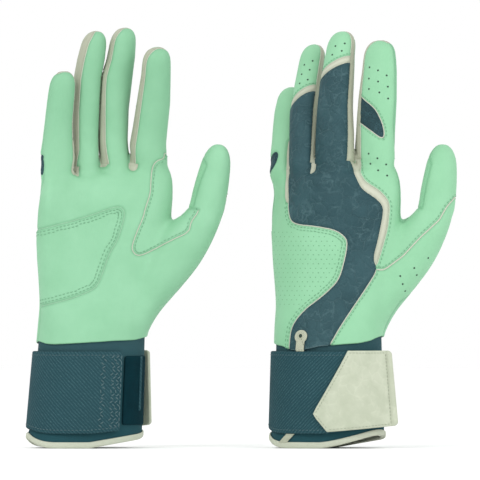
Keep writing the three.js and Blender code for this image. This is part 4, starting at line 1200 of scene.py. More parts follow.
def mint_material(name, light, dark, soft):
    """Smooth leather with a fine grain. Its soft colour is painted shade, laid along its seams and up the
    fingers' palm side.
    """
    n = Nodes(name)
    rest = n.attribute("rest")
    grain = n.cells(rest, 1.3, "F1")
    fine = n.noise(rest, 2.6, 3)
    broad = n.noise(rest, 0.035, 3, 0.6)
    colour = n.mix(n.spread(broad, 0.35, 0.68), dark, light)
    colour = n.mix(n.spread(fine, 0.3, 0.75, 0, 0.12), colour, dark)
    # Painted shade up the fingers' palm side
    colour = n.mix(n.times(n.attribute("finger", "Fac"), FINGER_PAINTED_SHADE), colour, soft)
    # Painted shade in the seams' grooves
    colour = n.mix(n.spread(n.attribute("seam", "Fac"), 0.2, 1.9, 0.42, 0), colour, soft)
    height = n.math("ADD", n.times(grain, 0.6), n.times(fine, 0.8))
    normal = n.bump(height, 0.00012, 0.5)
    return n.finish(colour, n.spread(fine, 0.3, 0.7, 0.5, 0.62), normal, Specular_IOR_Level=0.35)


def crackle_material(name, base, light, dark, cell, strength):
    """Printed and embossed leather: broken, uneven cracks round raised plates."""
    n = Nodes(name)
    rest = n.attribute("rest")
    bent = n.bent(rest, 0.11, 3.0, 14)
    plates = n.cells(bent, 1 / cell)
    patchy = n.noise(rest, 0.09, 2)
    line = n.times(n.spread(plates, 0.0, 0.07, 1, 0), n.spread(patchy, 0.38, 0.6, 0.15, 1))
    branch = n.spread(n.cells(bent, 2.6 / cell), 0.0, 0.09, 1, 0)
    branch = n.times(branch, n.spread(patchy, 0.52, 0.66, 0, 0.6))
    cracks = n.math("MAXIMUM", line, branch)
    soft = n.spread(plates, 0.0, 0.3, 0, 1)
    fine = n.noise(rest, 1.8, 3)
    broad = n.noise(rest, 0.05, 2)
    colour = n.mix(n.spread(broad, 0.3, 0.7), dark, base)
    colour = n.mix(n.spread(fine, 0.4, 0.8, 0, 0.16), colour, light)
    colour = n.mix(n.times(cracks, strength), colour, light)
    # The dark colour also serves as painted shade along the seams
    colour = n.mix(n.spread(n.attribute("seam", "Fac"), 0.2, 3.0, 0.45, 0), colour, dark)
    height = n.math("ADD", soft, n.times(fine, 0.15))
    height = n.math("SUBTRACT", height, n.times(cracks, 0.5))
    normal = n.bump(height, 0.0005, 0.9)
    return n.finish(colour, 0.62, normal, Specular_IOR_Level=0.22)


def thread_material(name, colour, rough=0.6):
    """Thread, a cut edge or the bottom of a hole: one colour with a fine fleck."""
    n = Nodes(name)
    fine = n.noise(n.attribute("rest"), 3.5, 2)
    shade = tuple(c * 0.72 for c in colour[:3]) + (1,)
    return n.finish(n.mix(n.spread(fine, 0.35, 0.7), shade, colour), rough, n.bump(fine, 0.00008, 0.6))


def twill_material(name, base, light, dark, pitch, strength):
    """Woven cloth with slanting ribs."""
    n = Nodes(name)
    cloth = n.attribute("cloth")
    parts = n.add("ShaderNodeSeparateXYZ", {0: cloth}).outputs
    warp = n.noise(cloth, 0.25, 2)
    slant = n.math("SUBTRACT", parts[0], parts[1])
    ribs = n.wave(n.math("ADD", slant, n.times(warp, 1.6)), pitch * math.sqrt(2))
    threads = n.wave(n.math("ADD", parts[0], parts[1]), pitch * 0.72)
    weave = n.math("ADD", n.times(ribs, 0.7), n.times(threads, 0.3))
    high = n.spread(weave, -0.9, 0.9)
    patchy = n.noise(cloth, 0.9, 3)
    shown = n.times(high, n.spread(patchy, 0.3, 0.72, 0.35, 1.0))
    colour = n.mix(n.spread(shown, 0.0, 0.45), dark, base)
    colour = n.mix(n.times(n.spread(shown, 0.5, 0.95), strength), colour, light)
    broad = n.noise(cloth, 0.06, 3)
    colour = n.mix(n.spread(broad, 0.35, 0.75, 0, 0.3), colour, dark)
    return n.finish(colour, 0.85, n.bump(high, 0.0003, 0.7), Specular_IOR_Level=0.15)


def knit_material(name, collar, low):
    """The sleeve: a close knit, darker where the strap keeps the light off."""
    n = Nodes(name)
    cloth = n.attribute("cloth")
    parts = n.add("ShaderNodeSeparateXYZ", {0: cloth}).outputs
    share = n.spread(parts[1], 40, 64)
    knit = n.times(n.wave(parts[0], 1.1), n.wave(parts[1], 0.8))
    fine = n.noise(cloth, 2.0, 3)
    colour = n.mix(share, low, collar)
    shade = n.mix(n.spread(fine, 0.3, 0.7, 0, 0.35), colour, srgb(22, 48, 54))
    shade = n.mix(n.spread(knit, 0.1, 1.0, 0, 0.25), shade, srgb(78, 110, 116))
    normal = n.bump(n.math("ADD", knit, fine), 0.00018, 0.6)
    return n.finish(shade, 0.85, normal, Specular_IOR_Level=0.12)


def pile_material(name, base, dark):
    """The tufts of a loop fastener."""
    n = Nodes(name)
    cloth = n.attribute("cloth")
    tufts = n.noise(cloth, 3.2, 3, 0.7)
    broad = n.noise(cloth, 0.2, 2)
    colour = n.mix(n.spread(tufts, 0.3, 0.7), dark, base)
    colour = n.mix(n.spread(broad, 0.35, 0.7, 0, 0.4), colour, dark)
    return n.finish(colour, 0.95, n.bump(tufts, 0.0006, 0.8), Specular_IOR_Level=0.08)


def tab_material(name, base, light, dark):
    """Thin embossed leather."""
    n = Nodes(name)
    cloth = n.attribute("cloth")
    cells = n.cells(n.bent(cloth, 0.2, 1.0, 4), 0.17)
    fine = n.noise(cloth, 2.4, 3)
    broad = n.noise(cloth, 0.12, 3)
    cracks = n.times(n.spread(cells, 0.0, 0.12, 1, 0), n.spread(broad, 0.4, 0.62))
    colour = n.mix(n.spread(broad, 0.35, 0.7), dark, base)
    colour = n.mix(n.times(cracks, 0.35), colour, light)
    height = n.math("ADD", n.times(fine, 0.3), n.spread(cells, 0.0, 0.3))
    return n.finish(colour, 0.55, n.bump(height, 0.0002, 0.6))


def made(maker, name, *settings):
    """A material. Its settings that are three levels are colours."""
    return maker(name, *(srgb(*value) if isinstance(value, tuple) else value for value in settings))


# The third colour of each mint and cream leather is its painted shade
mint = made(mint_material, "mint_leather", (158, 219, 176), (150, 212, 168), (112, 178, 134))
palm_mint = made(mint_material, "palm_leather", (156, 216, 175), (147, 208, 166), (106, 170, 128))
cream = made(mint_material, "cream_leather", (213, 216, 196), (200, 204, 183), (168, 174, 152))
# The walls between the fingers are the cream leather in a darker copy: painted shade between the fingers
shaded_wall_cream = made(mint_material, "wall_leather", (196, 200, 178), (180, 185, 163), (150, 156, 134))
teal = made(crackle_material, "teal_leather", (53, 89, 96), (92, 126, 131), (38, 73, 80), 8.5, 0.5)
mesh_teal = made(crackle_material, "mesh_leather", (58, 94, 101), (80, 114, 120), (46, 82, 89), 1.2, 0.3)
# The mint thread is tone-on-tone thread, made darker still as painted shade of its stitch holes
mint_thread = made(thread_material, "mint_thread", (128, 192, 150))
teal_thread = made(thread_material, "teal_thread", (88, 122, 128))
strap_thread = made(thread_material, "strap_thread", (92, 126, 131))
tab_thread = made(thread_material, "tab_thread", (176, 186, 160))
cut_edge = made(thread_material, "cut_edge", (222, 228, 208))
light_edge = made(thread_material, "patch_edge", (178, 230, 192))
tape_shade = made(thread_material, "tape_crease", (140, 148, 124))
# Punched holes are dishes coloured dark: painted shade inside the holes
hole_shade = made(thread_material, "punched_hole", (52, 78, 66), 0.9)
fine_hole_shade = made(thread_material, "fine_punched_hole", (110, 168, 130), 0.9)
sleeve_cloth = made(knit_material, "sleeve_knit", (62, 100, 107), (42, 90, 99))
strap_cloth = made(twill_material, "strap_elastic", (50, 88, 96), (94, 128, 133), (36, 72, 80), 1.7, 0.6)
edge_tape = made(twill_material, "edge_tape", (228, 234, 214), (238, 242, 226), (206, 212, 190), 0.9, 0.4)
tape_cloth = made(twill_material, "binding_tape", (208, 212, 190), (222, 226, 206), (186, 192, 168), 0.9, 0.4)
tab_leather = made(tab_material, "tab_leather", (206, 213, 190), (222, 228, 206), (196, 204, 180))
pile = made(pile_material, "loop_pile", (12, 62, 72), (7, 40, 48))


# Pieces of the skin

# Depth and reach of a seam's groove, and how far each layered panel stands up beyond which reach
SEAM_GROOVE = 0.45
SEAM_REACH = 0.9
RAISE_REACH = 0.9
RAISED = {
    "knuckle_overlay": 0.45, "middle_back": 0.45, "ring_back": 0.45, "heel_patch": 0.45, "web_patch": 0.35,
    "hand_trim": 0.2, "middle_trim": 0.2, "ring_trim": 0.2, "pinky_trim": 0.2, "index_web": 0.35,
}
CREAM_PIECES = ("wall", "trim", "crotches")
OVERLAY = ["knuckle_overlay", "middle_back", "ring_back"]
PALM_PIECES = ("palm_leather", "heel_patch", "web_patch", "index_web", "front")
# Panels of one group are one piece of leather, so seams run only between groups
GROUPS = [
    ["palm_leather", "index_front", "middle_front", "ring_front", "pinky_front", "thumb_front"],
    OVERLAY,
    ["ulnar_panel", "pinky_back"],
    ["web_panel", "index_back", "thumb_back"],
    ["radial_panel", "thumb_side"],
    ["web_patch", "index_web"],
    ["index_wall", "middle_wall", "ring_wall", "pinky_wall", "crotches"],
]
GROUPS += [[name] for name in LABELS if not any(name in group for group in GROUPS)]
# Heights above a digit's root, whose places carried() works out and leaves unused
BEND_START = 1.0
BEND_END = 26.0


def material_of(name):
    if name in OVERLAY:
        return teal
    if name.endswith("inset"):
        return mesh_teal
    # Walls take the cream copy darkened with painted shade
    if name.endswith("wall"):
        return shaded_wall_cream
    if name.endswith(CREAM_PIECES):
        return cream
    return palm_mint if name.endswith(PALM_PIECES) else mint


def slot_of(name):
    if name in OVERLAY or name.endswith("inset"):
        return "teal_leather"
    return "cream_leather" if name.endswith(CREAM_PIECES) else "mint_leather"


def digit_of(name):
    """The digit that a panel belongs to, or nothing for the hand."""
    digit = name.split("_")[0]
    return digit if digit in DIGITS else None


def linked(name, co, faces, material):
    """A smooth mesh object in the scene."""
    mesh = bpy.data.meshes.new(name)
    mesh.from_pydata(np.asarray(co).tolist(), [], faces)
    mesh.polygons.foreach_set("use_smooth", [True] * len(mesh.polygons))
    mesh.materials.append(material)
    body = bpy.data.objects.new(name, mesh)
    bpy.context.scene.collection.objects.link(body)
    return body


def store(body, name, values):
    kind, field = ("FLOAT", "value") if values.ndim == 1 else ("FLOAT_VECTOR", "vector")
    attribute = body.data.attributes.new(name, kind, "POINT")
    attribute.data.foreach_set(field, np.ascontiguousarray(values, float).ravel())


def carried(body, glove, digit=None):
    """A piece moves with its hand. A digit's piece only has its place baked into its points."""
    side = glove.side
    if digit is None:
        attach(body, f"{side}_hand")
        return
    d = glove.digits[digit]
    path = np.array([[0, 0, BEND_START], [0, 0, BEND_END]])
    start, end = moved(moved(path, d.place), to_row(side))
    tuple(start)
    tuple(end)
    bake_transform(body)


# Shorter runs of edges are crumbs where seams meet, and get no stitches
SHORTEST_RUN = 6
# The palm side of a finger is full in shade at this height
SHADE_RAMP = 34


def long_runs(edges):
    return [run for run in chains(edges) if len(run) > SHORTEST_RUN]


def codes(names):
    return [CODE[name] for name in names]


class Finish:
    """The seams, layers and normals of a divided skin."""

    def __init__(self, glove):
        self.glove = glove
        self.skin = skin = glove.skin
        self.matrix = to_row(glove.side)
        self.mirrored = np.linalg.det(self.matrix[:3, :3]) < 0
        self.distance = self.seam_distance()
        self.rest = skin.co.copy()
        # Painted shade on the fingers' palm side: none at the root, full at SHADE_RAMP
        self.finger = np.zeros(len(skin.co))
        for name in FINGERS:
            front = self.points_of([f"{name}_front", "index_web"])
            up = smoothstep(glove.digits[name].local(skin.co[front])[:, 2] / SHADE_RAMP)
            self.finger[front] = np.maximum(self.finger[front], up)
        raised = np.zeros(len(skin.co))
        for name, height in RAISED.items():
            own = self.points_of([name])
            raised[own] = np.maximum(raised[own], height)
        depth = SEAM_GROOVE * np.exp(-((self.distance / SEAM_REACH) ** 2))
        lift = raised * smoothstep(self.distance / RAISE_REACH)
        skin.co = skin.co + skin.normals() * (lift - depth)[:, None]
        self.normals = skin.normals()
        self.tree = BVHTree.FromPolygons(skin.co.tolist(), skin.tri.tolist())

    def points_of(self, names):
        return np.unique(self.skin.tri[np.isin(self.skin.label, codes(names))])

    def runs(self, one, other):
        """Runs of points along the edge of a group of panels, with the group on the left."""
        return long_runs(self.skin.border(codes(one), codes(other)))

    def seam_distance(self):
        """How far each point is from the nearest seam."""
        skin = self.skin
        seams = []
        for place, group in enumerate(GROUPS):
            later = [name for other in GROUPS[place + 1 :] for name in other]
            seams.append(skin.border(codes(group), codes(later)))
        seams = np.concatenate(seams)
        middles = (skin.co[seams[:, 0]] + skin.co[seams[:, 1]]) / 2
        spots = np.concatenate([skin.co[np.unique(seams)], middles])
        tree = KDTree(len(spots))
        for i, spot in enumerate(spots):
            tree.insert(spot, i)
        tree.balance()
        return np.array([tree.find(p)[2] for p in skin.co])

    def turned(self, normals):
        found = normals @ np.linalg.inv(self.matrix[:3, :3])
        return found / np.linalg.norm(found, axis=1, keepdims=True)

    def owner(self, place):
        """The digit that a place on the skin belongs to, or nothing for the hand."""
        face = self.tree.find_nearest(Vector(place))[2]
        return digit_of(LABELS[self.skin.label[face]])

    def pieces(self):
        """One object for each panel."""
        skin, side = self.skin, self.glove.side
        world, facing = moved(skin.co, self.matrix), self.turned(self.normals)
        for code in np.unique(skin.label):
            name = LABELS[code]
            used, inverse = np.unique(skin.tri[skin.label == code], return_inverse=True)
            faces = inverse.reshape(-1, 3)
            faces = faces[:, ::-1] if self.mirrored else faces
            body = linked(f"{side}_{name}_skin", world[used], faces.tolist(), material_of(name))
            store(body, "rest", self.rest[used])
            store(body, "seam", self.distance[used])
            store(body, "finger", self.finger[used] * name.endswith(("front", "index_web")))
            body.data.normals_split_custom_set_from_vertices(facing[used].tolist())
            carried(body, self.glove, digit_of(name))
            if f"{side}_{name}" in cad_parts:
                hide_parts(f"{side}_{name}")
            slot_of(name)


class Trim:
    """Small pieces on a glove's skin, gathered into one mesh for each body that carries them."""

    def __init__(self, finish, name, material, slot):
        self.finish = finish
        self.name = name
        self.material = material
        self.slot = slot
        self.parts = {}

    def add(self, points, faces, digit):
        co, polygons = self.parts.setdefault(digit, ([], []))
        start = sum(len(c) for c in co)
        co.append(points)
        polygons.extend([[start + i for i in face] for face in faces])

    def pieces(self):
        for digit, (co, polygons) in self.parts.items():
            co = np.concatenate(co)
            side = self.finish.glove.side
            if self.finish.mirrored:
                polygons = [face[::-1] for face in polygons]
            name = f"{side}_{digit or 'hand'}_{self.name}"
            body = linked(name, moved(co, self.finish.matrix), polygons, self.material)
            store(body, "rest", co)
            carried(body, self.finish.glove, digit)


STITCH_SIDES = 5
# Shares of a stitch's half length, and of its radius there
STITCH_PROFILE = [(-1.0, 0.25), (-0.75, 0.8), (0.0, 1.0), (0.75, 0.8), (1.0, 0.25)]
STITCH_FACES = loft_faces([range(STITCH_SIDES)] * len(STITCH_PROFILE))
SKIN_STITCH_LIFT = 0.08
STITCH_ARCH = 0.3


def stitch(place, along, normal, length, radius):
    """The points of one lying stitch: a small grain-shaped thread."""
    side = np.cross(normal, along)
    side /= np.linalg.norm(side)
    points = []
    for share, swell in STITCH_PROFILE:
        for k in range(STITCH_SIDES):
            turn = 2 * math.pi * k / STITCH_SIDES
            off = side * math.cos(turn) + normal * (math.sin(turn) + STITCH_ARCH * (1 - abs(share)))
            points.append(place + along * share * length / 2 + off * radius * swell)
    return np.array(points)


def sew(trim, runs, offset, pitch=2.6, length=1.7, radius=0.27):
    """Rows of stitches along runs of the skin's points, set off to the left."""
    finish = trim.finish
    for run in runs:
        places, facing, along, _ = even_run(finish.skin.co[run], finish.normals[run], pitch)
        aside = np.cross(facing, along)
        for i in range(len(places)):
            near, normal, _, _ = finish.tree.find_nearest(Vector(places[i] + aside[i] * offset))
            normal = np.array(normal)
            way = along[i] - normal * np.dot(normal, along[i])
            way /= max(np.linalg.norm(way), 1e-6)
            place = np.array(near) + normal * SKIN_STITCH_LIFT
            trim.add(stitch(place, way, normal, length, radius), STITCH_FACES, finish.owner(near))


BEAD_SIDES = 8
BEAD_PITCH = 0.8
BEAD_ROUNDS = 6
# An open bead's ends are thin: its share of the radius there, and how much it grows at each step
BEAD_END = 0.35
BEAD_GROWTH = 0.3


def bead(trim, runs, radius=0.42, offset=0.0, lift=0.1):
    """The pale cut edge of a leather: a fine bead along runs of the skin's points."""
    finish = trim.finish
    for run in runs:
        co, normals = finish.skin.co[run], finish.normals[run]
        places, facing, along, closed = even_run(co, normals, BEAD_PITCH, BEAD_ROUNDS)
        aside = np.cross(facing, along)
        places = places + aside * offset + facing * lift
        owners = [finish.owner(place) for place in places]
        start = 0
        while start < len(places) - 1:
            end = start + 1
            while end < len(places) and owners[end] == owners[start]:
                end += 1
            last = min(end, len(places) - 1)
            rows = np.arange(start, last + 1)
            points = []
            for i in rows:
                from_end = min(i, len(places) - 1 - i)
                taper = 1.0 if closed else min(1.0, BEAD_END + BEAD_GROWTH * from_end)
                for k in range(BEAD_SIDES):
                    turn = 2 * math.pi * k / BEAD_SIDES
                    off = aside[i] * math.cos(turn) + facing[i] * math.sin(turn)
                    points.append(places[i] + off * radius * taper)
            faces = []
            for r in range(len(rows) - 1):
                for k in range(BEAD_SIDES):
                    after = (k + 1) % BEAD_SIDES
                    low, high = r * BEAD_SIDES, (r + 1) * BEAD_SIDES
                    faces.append([low + k, high + k, high + after, low + after])
            if len(rows) > 1:
                trim.add(np.array(points), faces, owners[start])
            start = last if last > start else start + 1


HOLE_SIDES = 12
# A hole's rings: shares of its radius and heights above the skin
HOLE_MIDDLE = 0.02
HOLE_RINGS = ((0.6, 0.05), (1.0, 0.09))
# A direction that no normal has, which a hole's first point is turned by
HOLE_START = (0.3, 0.1, 1.0)


def hole(trim, place, normal, radius):
    """A punched hole: a dish with a soft rim, lying on the skin, coloured dark as painted shade inside the
    hole.
    """
    side = np.cross(normal, HOLE_START)
    side /= np.linalg.norm(side)
    other = np.cross(normal, side)
    points, faces = [place + normal * HOLE_MIDDLE], []
    for share, height in HOLE_RINGS:
        for k in range(HOLE_SIDES):
            turn = 2 * math.pi * k / HOLE_SIDES
            off = side * math.cos(turn) + other * math.sin(turn)
            points.append(place + off * radius * share + normal * height)
    for k in range(HOLE_SIDES):
        after = (k + 1) % HOLE_SIDES
        faces.append([0, 1 + k, 1 + after])
        faces.append([1 + k, 1 + HOLE_SIDES + k, 1 + HOLE_SIDES + after, 1 + after])
    trim.add(np.array(points), faces, trim.finish.owner(place))


# Punched holes as seen on the left-hand glove's back, by the digit that carries them
HOLE_PIXELS = {
    "index": [
        (369.6, 67.3), (378, 70.4), (386.6, 75.5), (369, 78.5), (378, 81.6), (387.7, 86.8), (369, 89),
        (379.3, 92.5), (388, 98.6), (368.6, 153.7), (377.3, 158.4),
    ],
    None: [
        (370.4, 163.8), (386, 164.5), (378, 170.4), (387, 175.6), (400, 276), (402.5, 284), (405, 291),
        (414, 268), (416.6, 275), (428, 258),
    ],
    "middle": [(345, 43), (335.7, 45.6), (342, 50.5), (332.5, 54.3)],
    "ring": [(313, 60), (304.7, 64), (310, 69), (302, 73.5), (308, 79), (300, 82.7)],
}
HOLE_RADIUS = 0.62
# Rays to the back start this far behind it
FAR = 80.0


def frame_and_width(finish, digit):
    """The frame and width of a digit, or the hand's own frame."""
    if digit is None:
        return np.eye(4), 1
    return finish.glove.digits[digit].place, finish.glove.digits[digit].width


def on_back(finish, digit, x, z):
    """The place and normal of a glove's back at x and z of a digit's frame, or of the hand's."""
    matrix = frame_and_width(finish, digit)[0]
    start = moved(np.array([[x, -FAR, z]]), matrix)[0]
    place, normal, _, _ = finish.tree.ray_cast(Vector(start), Vector(matrix[:3, 1]))
    return (None, None) if place is None else (np.array(place), np.array(normal))


def punch(finishes, trims):
    """Punches both gloves' backs where the photograph shows holes in the left one's."""
    source = finishes["left"]
    for digit, pixels in HOLE_PIXELS.items():
        matrix, width = frame_and_width(source, digit)
        for pixel in pixels:
            place = hit(source.tree, *pixel_ray("left", pixel))
            if place is None:
                continue
            x, _, z = moved(place[None], np.linalg.inv(matrix))[0]
            for side, finish in finishes.items():
                scale = frame_and_width(finish, digit)[1] / width
                place, normal = on_back(finish, digit, x * scale, z)
                if place is not None:
                    hole(trims[side], place, normal, HOLE_RADIUS)


# The mint field on the back is finely punched: pitch, hole radius and clearance from its seams
FIELD_PITCH = 3.6
FIELD_ROW_SHARE = 0.8
FIELD_RADIUS = 0.3
FIELD_CLEARANCE = 4.5
FIELD_X = (-42.0, 12.0)
FIELD_Z = (92.0, 140.0)


def punch_field(finish, trim):
    """Rows of fine holes, every other one set over by half the pitch."""
    skin = finish.skin
    for row, z in enumerate(np.arange(*FIELD_Z, FIELD_PITCH * FIELD_ROW_SHARE)):
        for x in np.arange(*FIELD_X, FIELD_PITCH):
            place, normal = on_back(finish, None, x + (1 - row % 2) * FIELD_PITCH / 2, z)
            if place is None:
                continue
            face = finish.tree.find_nearest(Vector(place))[2]
            clear = finish.distance[skin.tri[face]].min() > FIELD_CLEARANCE
            if skin.label[face] == CODE["ulnar_panel"] and clear:
                hole(trim, place, normal, FIELD_RADIUS)


# Pitch, length and radius of the finer stitches
FINE_STITCH = (2.2, 1.4, 0.22)


def dress(finish):
    """Stitches, cut edges and hems of one glove."""
    thread = Trim(finish, "thread", mint_thread, "mint_leather")
    dark = Trim(finish, "teal_thread", teal_thread, "teal_leather")
    edge = Trim(finish, "cut_edge", cut_edge, "cream_leather")
    light = Trim(finish, "patch_edge", light_edge, "mint_leather")
    mint_hem = Trim(finish, "hem", mint, "mint_leather")
    runs = finish.runs
    bead(edge, runs(OVERLAY, ["ulnar_panel", "radial_panel"]))
    bead(edge, runs(["hand_trim"], ["web_panel", "radial_panel"]), radius=0.3, offset=-0.4)
    sew(thread, runs(["ulnar_panel"], ["knuckle_overlay"]), offset=1.7)
    sew(thread, runs(["ulnar_panel"], ["knuckle_overlay"]), offset=3.4)
    sew(thread, runs(["radial_panel"], ["knuckle_overlay"]), offset=1.7)
    sew(thread, runs(["web_panel", "radial_panel"], ["hand_trim"]), offset=1.9)
    thumb_seam = runs(["web_panel", "thumb_back"], ["radial_panel", "thumb_side"])
    bead(edge, thumb_seam, radius=0.5)
    sew(thread, thumb_seam, offset=1.7)
    for name in CAP_LENGTH:
        cap_seam = runs([f"{name}_cap"], [f"{name}_trim"])
        bead(edge, cap_seam, radius=0.32)
        sew(thread, cap_seam, 1.5, *FINE_STITCH)
    bead(edge, runs(["index_inset"], ["index_back"]), radius=0.36)
    sew(thread, runs(["index_back"], ["index_inset"]), 1.5, *FINE_STITCH)
    web_seam = runs(["web_patch", "index_web"], ["palm_leather", "index_front"])
    bead(edge, web_seam, radius=0.36)
    sew(thread, web_seam, offset=1.7)
    heel_seam = runs(["heel_patch"], ["palm_leather"])
    bead(light, heel_seam, radius=0.26)
    sew(thread, heel_seam, offset=1.9)
    sew(thread, heel_seam, offset=3.9)
    for name in FINGERS:
        for part in ("front", "back", "cap"):
            panel = f"{name}_{part}"
            if panel in CODE and panel not in OVERLAY:
                bead(edge, runs([panel], [f"{name}_wall"]), radius=0.28, offset=0.1)
    hem(finish, dark, OVERLAY)
    hem(finish, mint_hem, ["ulnar_panel", "radial_panel", "palm_leather", "heel_patch", "thumb_side"])
    return thread, dark, edge, light, mint_hem


HEM_ROLL = 0.62


def hem(finish, trim, names):
    """The turned edge of the leather round the wrist."""
    bead(trim, long_runs(finish.skin.rim(codes(names))), radius=HEM_ROLL, lift=-HEM_ROLL)


def leather():
    """All panels of both gloves, with what is sewn and punched on them."""
    finishes, holes = {}, {}
    for glove in gloves.values():
        finish = Finish(glove)
        finishes[glove.side] = finish
        finish.pieces()
        for trim in dress(finish):
            trim.pieces()
        holes[glove.side] = Trim(finish, "holes", hole_shade, "mint_leather")
        faint = Trim(finish, "fine_holes", fine_hole_shade, "mint_leather")
        punch_field(finish, faint)
        faint.pieces()
    punch(finishes, holes)
    for trim in holes.values():
        trim.pieces()


leather()


# The cuff: sleeve, binding, strap, patches, pull loop and the tab that opens

STITCH_LIFT = 0.05
# A strip's stitches are this many of their lengths apart. Their normal and direction are taken from
# places this far above and ahead
STITCH_SPACING = 1.5
STITCH_LOOK_UP = 0.5
STITCH_LOOK_AHEAD = 0.3
QUARTERS = np.radians([30, 60, 90, 120, 150])
UNDER_COLUMNS = 8
LEAST_REACH = 0.12
LEAST_BULGE = 0.02
# Where a strip has more sections near its ends: shares of its rolled edge and of its corner
ROLL_STOPS = (0.0, 0.06, 0.24, 0.6)
CORNER_STOPS = (0.45, 0.7, 1.0)


def slab(place, stops, low, high, inner, outer, corner=3.0, fold=None, columns=40):
    """A cloth or leather strip with rolled edges and round corners. Its stops run along it, low and
    high are its edges there, and place(along, across, offset) gives its points. fold(along) moves
    its outside."""
    roll = (outer - inner) / 2
    start, end = stops[0], stops[-1]
    extra = [start + roll * v for v in ROLL_STOPS] + [start + corner * v for v in CORNER_STOPS]
    late = [start + end - v for v in extra]
    middle = (inner + outer) / 2
    points, marks = [], []
    for along in np.unique(np.concatenate([stops, extra, late])):
        edge = min(along - start, end - along)
        cut = corner - math.sqrt(max(0.0, corner**2 - max(0.0, corner - edge) ** 2))
        half = roll * math.sqrt(max(LEAST_BULGE, 1 - max(0.0, 1 - edge / roll) ** 2))
        centre = (low(along) + high(along)) / 2
        reach = max((high(along) - low(along)) / 2 - cut, LEAST_REACH)
        end_roll = min(roll, reach)
        lift = fold(along) if fold else 0.0
        raised = max(lift, 0)
        flat = reach - end_roll
        section = [(centre + flat * v, middle + half + lift) for v in np.linspace(-1, 1, columns)]
        section += [
            (centre + flat + end_roll * math.sin(a), middle + (half + raised * (a < 1)) * math.cos(a))
            for a in QUARTERS
        ]
        section += [(centre - flat * v, middle - half) for v in np.linspace(-1, 1, UNDER_COLUMNS)]
        section += [
            (centre - flat - end_roll * math.sin(a), middle - (half + raised * (a > 2)) * math.cos(a))
            for a in QUARTERS
        ]
        across, offset = np.array(section).T
        points.append(place(along, across, offset))
        marks.append(np.stack([np.full_like(across, along), across, offset], -1))
    return points, marks


def skinned(name, side, rings, marks, material, body, node=None, closed=False):
    """A piece from rings of points in the hand frame, laid in the row frame. Its marks are each
    point's place on the cloth."""
    co = np.concatenate(rings)
    faces = loft_faces(rings, closed=closed)
    piece = linked(f"{side}_{name}", moved(co, to_row(side)), faces, material)
    work = bmesh.new()
    work.from_mesh(piece.data)
    bmesh.ops.recalc_face_normals(work, faces=work.faces)
    work.to_mesh(piece.data)
    work.free()
    store(piece, "rest", co)
    store(piece, "cloth", np.concatenate(marks))
    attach(piece, f"{side}_{body}")
    if node:
        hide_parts(f"{side}_{node}")


ARC_HEIGHT = 40.0
ARC_ANGLES = np.arange(0, 361.0, 1.0)
ARC_LENGTHS = reach_along(on_sleeve(ARC_ANGLES, ARC_HEIGHT, STRAP_OUTSIDE))


def along_cuff(angle):
    """How far round the cuff an angle is, in millimetres."""
    return float(np.interp(angle, ARC_ANGLES, ARC_LENGTHS))


def round_cuff(along, across, offset):
    """Points round the cuff: across is the height."""
    angle = np.interp(along, ARC_LENGTHS, ARC_ANGLES)
    return on_sleeve(angle, across, offset)


# The tab: its size, how far its end slants, its folded hem and the reach of its stitches
TAB_LENGTH = 56.6
TAB_LOW = 10.5
TAB_TOP = 62.5
TAB_HEIGHT = 52.0
TAB_SLANT = 4.3
TAB_HEM = 4.6
TAB_STITCH = 1.5
# Its apex: the edges' heights there, and how far from it they reach their corners
TAB_APEX_LOW = 21.5
TAB_APEX_HIGH = 22.5
TAB_LOW_CORNER = 9
TAB_HIGH_CORNER = 23
# Beyond its corner the low edge rises this much over this run
TAB_LOW_RISE = 4
TAB_LOW_RUN = 46
# The hem's height and ramp, and how far before it the groove lies and how broad it is
TAB_FOLD = 0.5
TAB_FOLD_RAMP = 0.8
TAB_GROOVE_PLACE = 0.2
TAB_GROOVE_REACH = 0.55
# Its path is measured at this height and over these degrees, and its direction over two steps
TAB_MIDDLE = 36.0
TAB_REACH = 60
TAB_STEP = 0.5


class TabPath:
    """The line that the tab follows: round the cuff for a while, then straight on."""

    def __init__(self, side):
        self.wrap = POSES[side]["tab_wrap"]
        self.angles = np.arange(TAB_APEX_ANGLE, TAB_APEX_ANGLE + TAB_REACH, 1.0)
        self.lengths = reach_along(on_sleeve(self.angles, TAB_MIDDLE, TAB_INSIDE))

    def place(self, along, across, offset):
        share = max(along, 0) / TAB_LENGTH
        slanted = along - TAB_SLANT * ((across - TAB_LOW) / TAB_HEIGHT) * share**2
        turned = np.minimum(slanted, self.wrap)
        angle = np.interp(turned, self.lengths, self.angles)
        before = on_sleeve(angle - TAB_STEP, across, TAB_INSIDE)
        way = on_sleeve(angle + TAB_STEP, across, TAB_INSIDE) - before
        way[..., 2] = 0
        way /= np.linalg.norm(way, axis=-1, keepdims=True)
        return on_sleeve(angle, across, TAB_INSIDE + offset) + way * (slanted - turned)[..., None]


def tab_low(along):
    """The tab's low edge falls to its corner, then rises a little."""
    if along < TAB_LOW_CORNER:
        return lerp(TAB_APEX_LOW, TAB_LOW, along / TAB_LOW_CORNER)
    return TAB_LOW + TAB_LOW_RISE * (along - TAB_LOW_CORNER) / TAB_LOW_RUN


def tab_high(along):
    """The tab's high edge slants up from its apex."""
    return lerp(TAB_APEX_HIGH, TAB_TOP, min(1, along / TAB_HIGH_CORNER))


def tab_fold(along):
    """The hem near the tab's end stands a little higher, past a groove."""
    beyond = along - (TAB_LENGTH - TAB_HEM)
    groove = math.exp(-(((beyond + TAB_GROOVE_PLACE) / TAB_GROOVE_REACH) ** 2))
    return TAB_FOLD * float(smoothstep(beyond / TAB_FOLD_RAMP)) - TAB_FOLD * groove


def strap_low(along):
    """The strap's low edge follows the rim, but less steeply."""
    angle = np.interp(along, ARC_LENGTHS, ARC_ANGLES)
    return STRAP_LOW + STRAP_RISE_SHARE * float(rim_height(angle))


